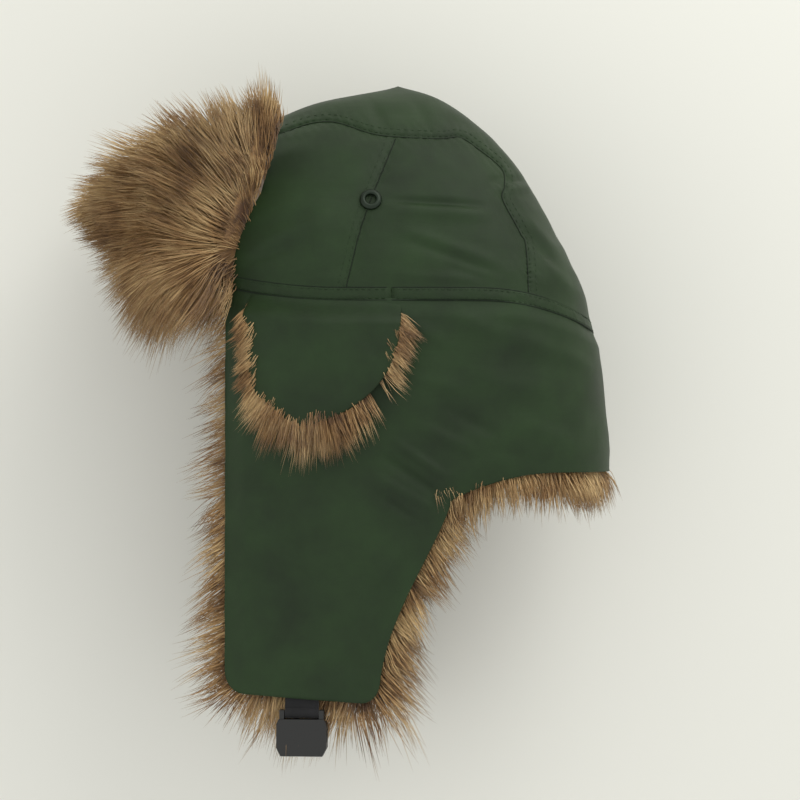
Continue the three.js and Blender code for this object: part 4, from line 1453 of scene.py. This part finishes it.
leftCoverFur = pileSkin("leftCoverFur", coverFurPlace, 70, 70, coverFur["thickness"])
rightCoverFur = mirroredCopy(leftCoverFur, "rightCoverFur")
coverPile = {"density": 1650000, "radius": 0.27 * mm, "rise": 0.12, "spread": 0.16, "sway": 0.6}
for fur, name, side in ((leftCoverFur, "left", 1), (rightCoverFur, "right", -1)):
    combSkin(fur, coverComb, side)
    growFur(fur, furLook | coverPile | {"seed": 40 + side}, brownFur)
    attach(fur, name + "_ear_cover")
    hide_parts(name + "_cover_fur")

# front flap, in two halves that meet at the middle of the brow

browFur = {"depth": 9 * mm, "thickness": 5 * mm, "length": 25 * mm, "front": 18 * mm}


def browFurPlace(low, high):
    def place(u, v):
        across, up = mix(low, high, u), mix(0.02, 1.01, v)
        return browSkin(across, up) + browOutward(across, up) * outwardSign * browFur["depth"]
    return place


# the pile fans round from up at the back corners to forward and down over the brow
def browComb(point, normal):
    side = math.copysign(1, point.x)
    fromFan = math.atan2(point.z + 10 * mm, -70 * mm - point.y)
    lean = 1.7 * fromFan - math.radians(68)
    sideways = side * 0.3 * smooth(abs(point.x), 20 * mm, 72 * mm)
    direction = Vector((sideways, -math.cos(lean), math.sin(lean)))
    low = 1 - smooth(point.z, 18 * mm, 42 * mm)
    direction += Vector((0, 0.35, -0.9)) * low
    length = mix(browFur["length"], browFur["front"], smooth(-point.y, 140 * mm, 176 * mm))
    length *= mix(1, 0.62, smooth(point.z, 84 * mm, 110 * mm))
    cover = 0.15 if normal.dot(Vector((side * 0.3, -1, -0.4))) < -0.3 else 1
    return direction.normalized(), length * mix(1, 1.35, low), cover


for name, low, high, seed in (("leftFrontFur", -0.005, 0.5, 51), ("rightFrontFur", 0.5, 1.005, 52)):
    fur = pileSkin(name, browFurPlace(low, high), 70, 60, browFur["thickness"])
    combSkin(fur, browComb)
    growFur(fur, furLook | {"seed": seed, "density": 540000, "rise": 0.42, "clump": 0.5}, brownFur)
    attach(fur, "front_flap")
    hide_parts("front_flap_fur")

print("stage: strap and buckle")


# ---- buckle halves and straps: the frame's own shapes with their edges rounded ----

def roundedCopy(node, name, width, segments, material):
    source = frame["nodes"][node]
    bm = bmesh.new()
    bm.from_mesh(source.data)
    bmesh.ops.remove_doubles(bm, verts=bm.verts, dist=0.02 * mm)
    bmesh.ops.dissolve_limit(bm, angle_limit=math.radians(3), verts=bm.verts, edges=bm.edges)
    piece = objectFrom(name, bm, [material], False)
    bevel = piece.modifiers.new("edges", "BEVEL")
    bevel.width = width
    bevel.segments = segments
    bevel.limit_method = "ANGLE"
    bevel.angle_limit = math.radians(28)
    bevel.harden_normals = False
    return piece


for node, name, body, width in (
    ("buckle_socket", "buckleSocket", "socket", 0.6 * mm),
    ("buckle_plug", "bucklePlug", "plug", 0.5 * mm),
    ("plug_rear_arm", "plugRearArm", "rear_arm", 0.35 * mm),
    ("plug_front_arm", "plugFrontArm", "front_arm", 0.35 * mm),
    ("left_strap_webbing", "leftStrap", "left_strap", 0.3 * mm),
    ("right_strap_webbing", "rightStrap", "right_strap", 0.3 * mm),
):
    onStrap = name.endswith("Strap")
    piece = roundedCopy(node, name, width, 2, strapWebbing if onStrap else blackPlastic)
    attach(piece, body)
    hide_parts(node)

print("stage: studio")

# ---- camera, backdrop and light ----

viewLook = {
    "lens": 120,
    "elevation": -0.5,
    "plane": 60 * mm,
    "y": 2.4 * mm,
    "z": -58.5 * mm,
    "width": 480 * mm,
}

sensorWidth = 36
camera = bpy.data.objects.new("camera", bpy.data.cameras.new("camera"))
scene.collection.objects.link(camera)
camera.data.lens = viewLook["lens"]
camera.data.sensor_width = sensorWidth
camera.data.clip_end = 20
tilt = math.radians(viewLook["elevation"])
reach = viewLook["width"] * viewLook["lens"] / sensorWidth
aim = Vector((viewLook["plane"], viewLook["y"], viewLook["z"]))
camera.location = aim + reach * Vector((math.cos(tilt), 0, math.sin(tilt)))
camera.rotation_euler = (aim - camera.location).to_track_quat("-Z", "Y").to_euler()
scene.camera = camera

paper, paperNodes, paperLinks, paperShader = newMaterial("palePaper")
paperShader.inputs["Base Color"].default_value = (*linear(226, 226, 219), 1)
paperShader.inputs["Roughness"].default_value = 0.9
clear = paperNodes.new("ShaderNodeBsdfTransparent")
facing = paperNodes.new("ShaderNodeNewGeometry")
oneSided = paperNodes.new("ShaderNodeMixShader")
paperLinks.new(facing.outputs["Backfacing"], oneSided.inputs["Fac"])
paperLinks.new(paperShader.outputs["BSDF"], oneSided.inputs[1])
paperLinks.new(clear.outputs["BSDF"], oneSided.inputs[2])
paperLinks.new(oneSided.outputs["Shader"], paperNodes["Material Output"].inputs["Surface"])

bm = bmesh.new()
bmesh.ops.create_grid(bm, x_segments=1, y_segments=1, size=2.2)
behind = Matrix.Translation((cadLow.x - 12 * mm, 0, -0.05))
bmesh.ops.transform(bm, matrix=behind @ Matrix.Rotation(math.pi / 2, 4, "Y"), verts=bm.verts)
backdropMesh = bpy.data.meshes.new("backdrop")
bm.to_mesh(backdropMesh)
bm.free()
backdrop = bpy.data.objects.new("backdrop", backdropMesh)
scene.collection.objects.link(backdrop)
backdropMesh.materials.append(paper)
backdrop.visible_shadow = False

world = bpy.data.worlds.new("studio")
scene.world = world
world.use_nodes = True
world.node_tree.nodes["Background"].inputs["Color"].default_value = (0.95, 0.95, 0.93, 1)
world.node_tree.nodes["Background"].inputs["Strength"].default_value = 0.98


def areaLight(name, place, target, size, power, colour):
    lamp = bpy.data.lights.new(name, "AREA")
    lamp.shape = "SQUARE"
    lamp.size = size
    lamp.energy = power
    lamp.color = colour
    holder = bpy.data.objects.new(name, lamp)
    scene.collection.objects.link(holder)
    holder.location = place
    holder.rotation_euler = (Vector(target) - Vector(place)).to_track_quat("-Z", "Y").to_euler()


areaLight("keyLight", (0.7, 0.7, 1.2), (0, 0, -0.05), 1.2, 11, (1, 0.99, 0.95))
areaLight("fillLight", (1.3, -0.9, -0.3), (0, 0, -0.05), 1.4, 1.5, (1, 0.99, 0.95))
areaLight("backLight", (-1.2, 0.2, 0.9), (0, 0, 0), 1.0, 4, (1, 1, 1))

scene.view_settings.view_transform = "Standard"
scene.view_settings.look = "None"
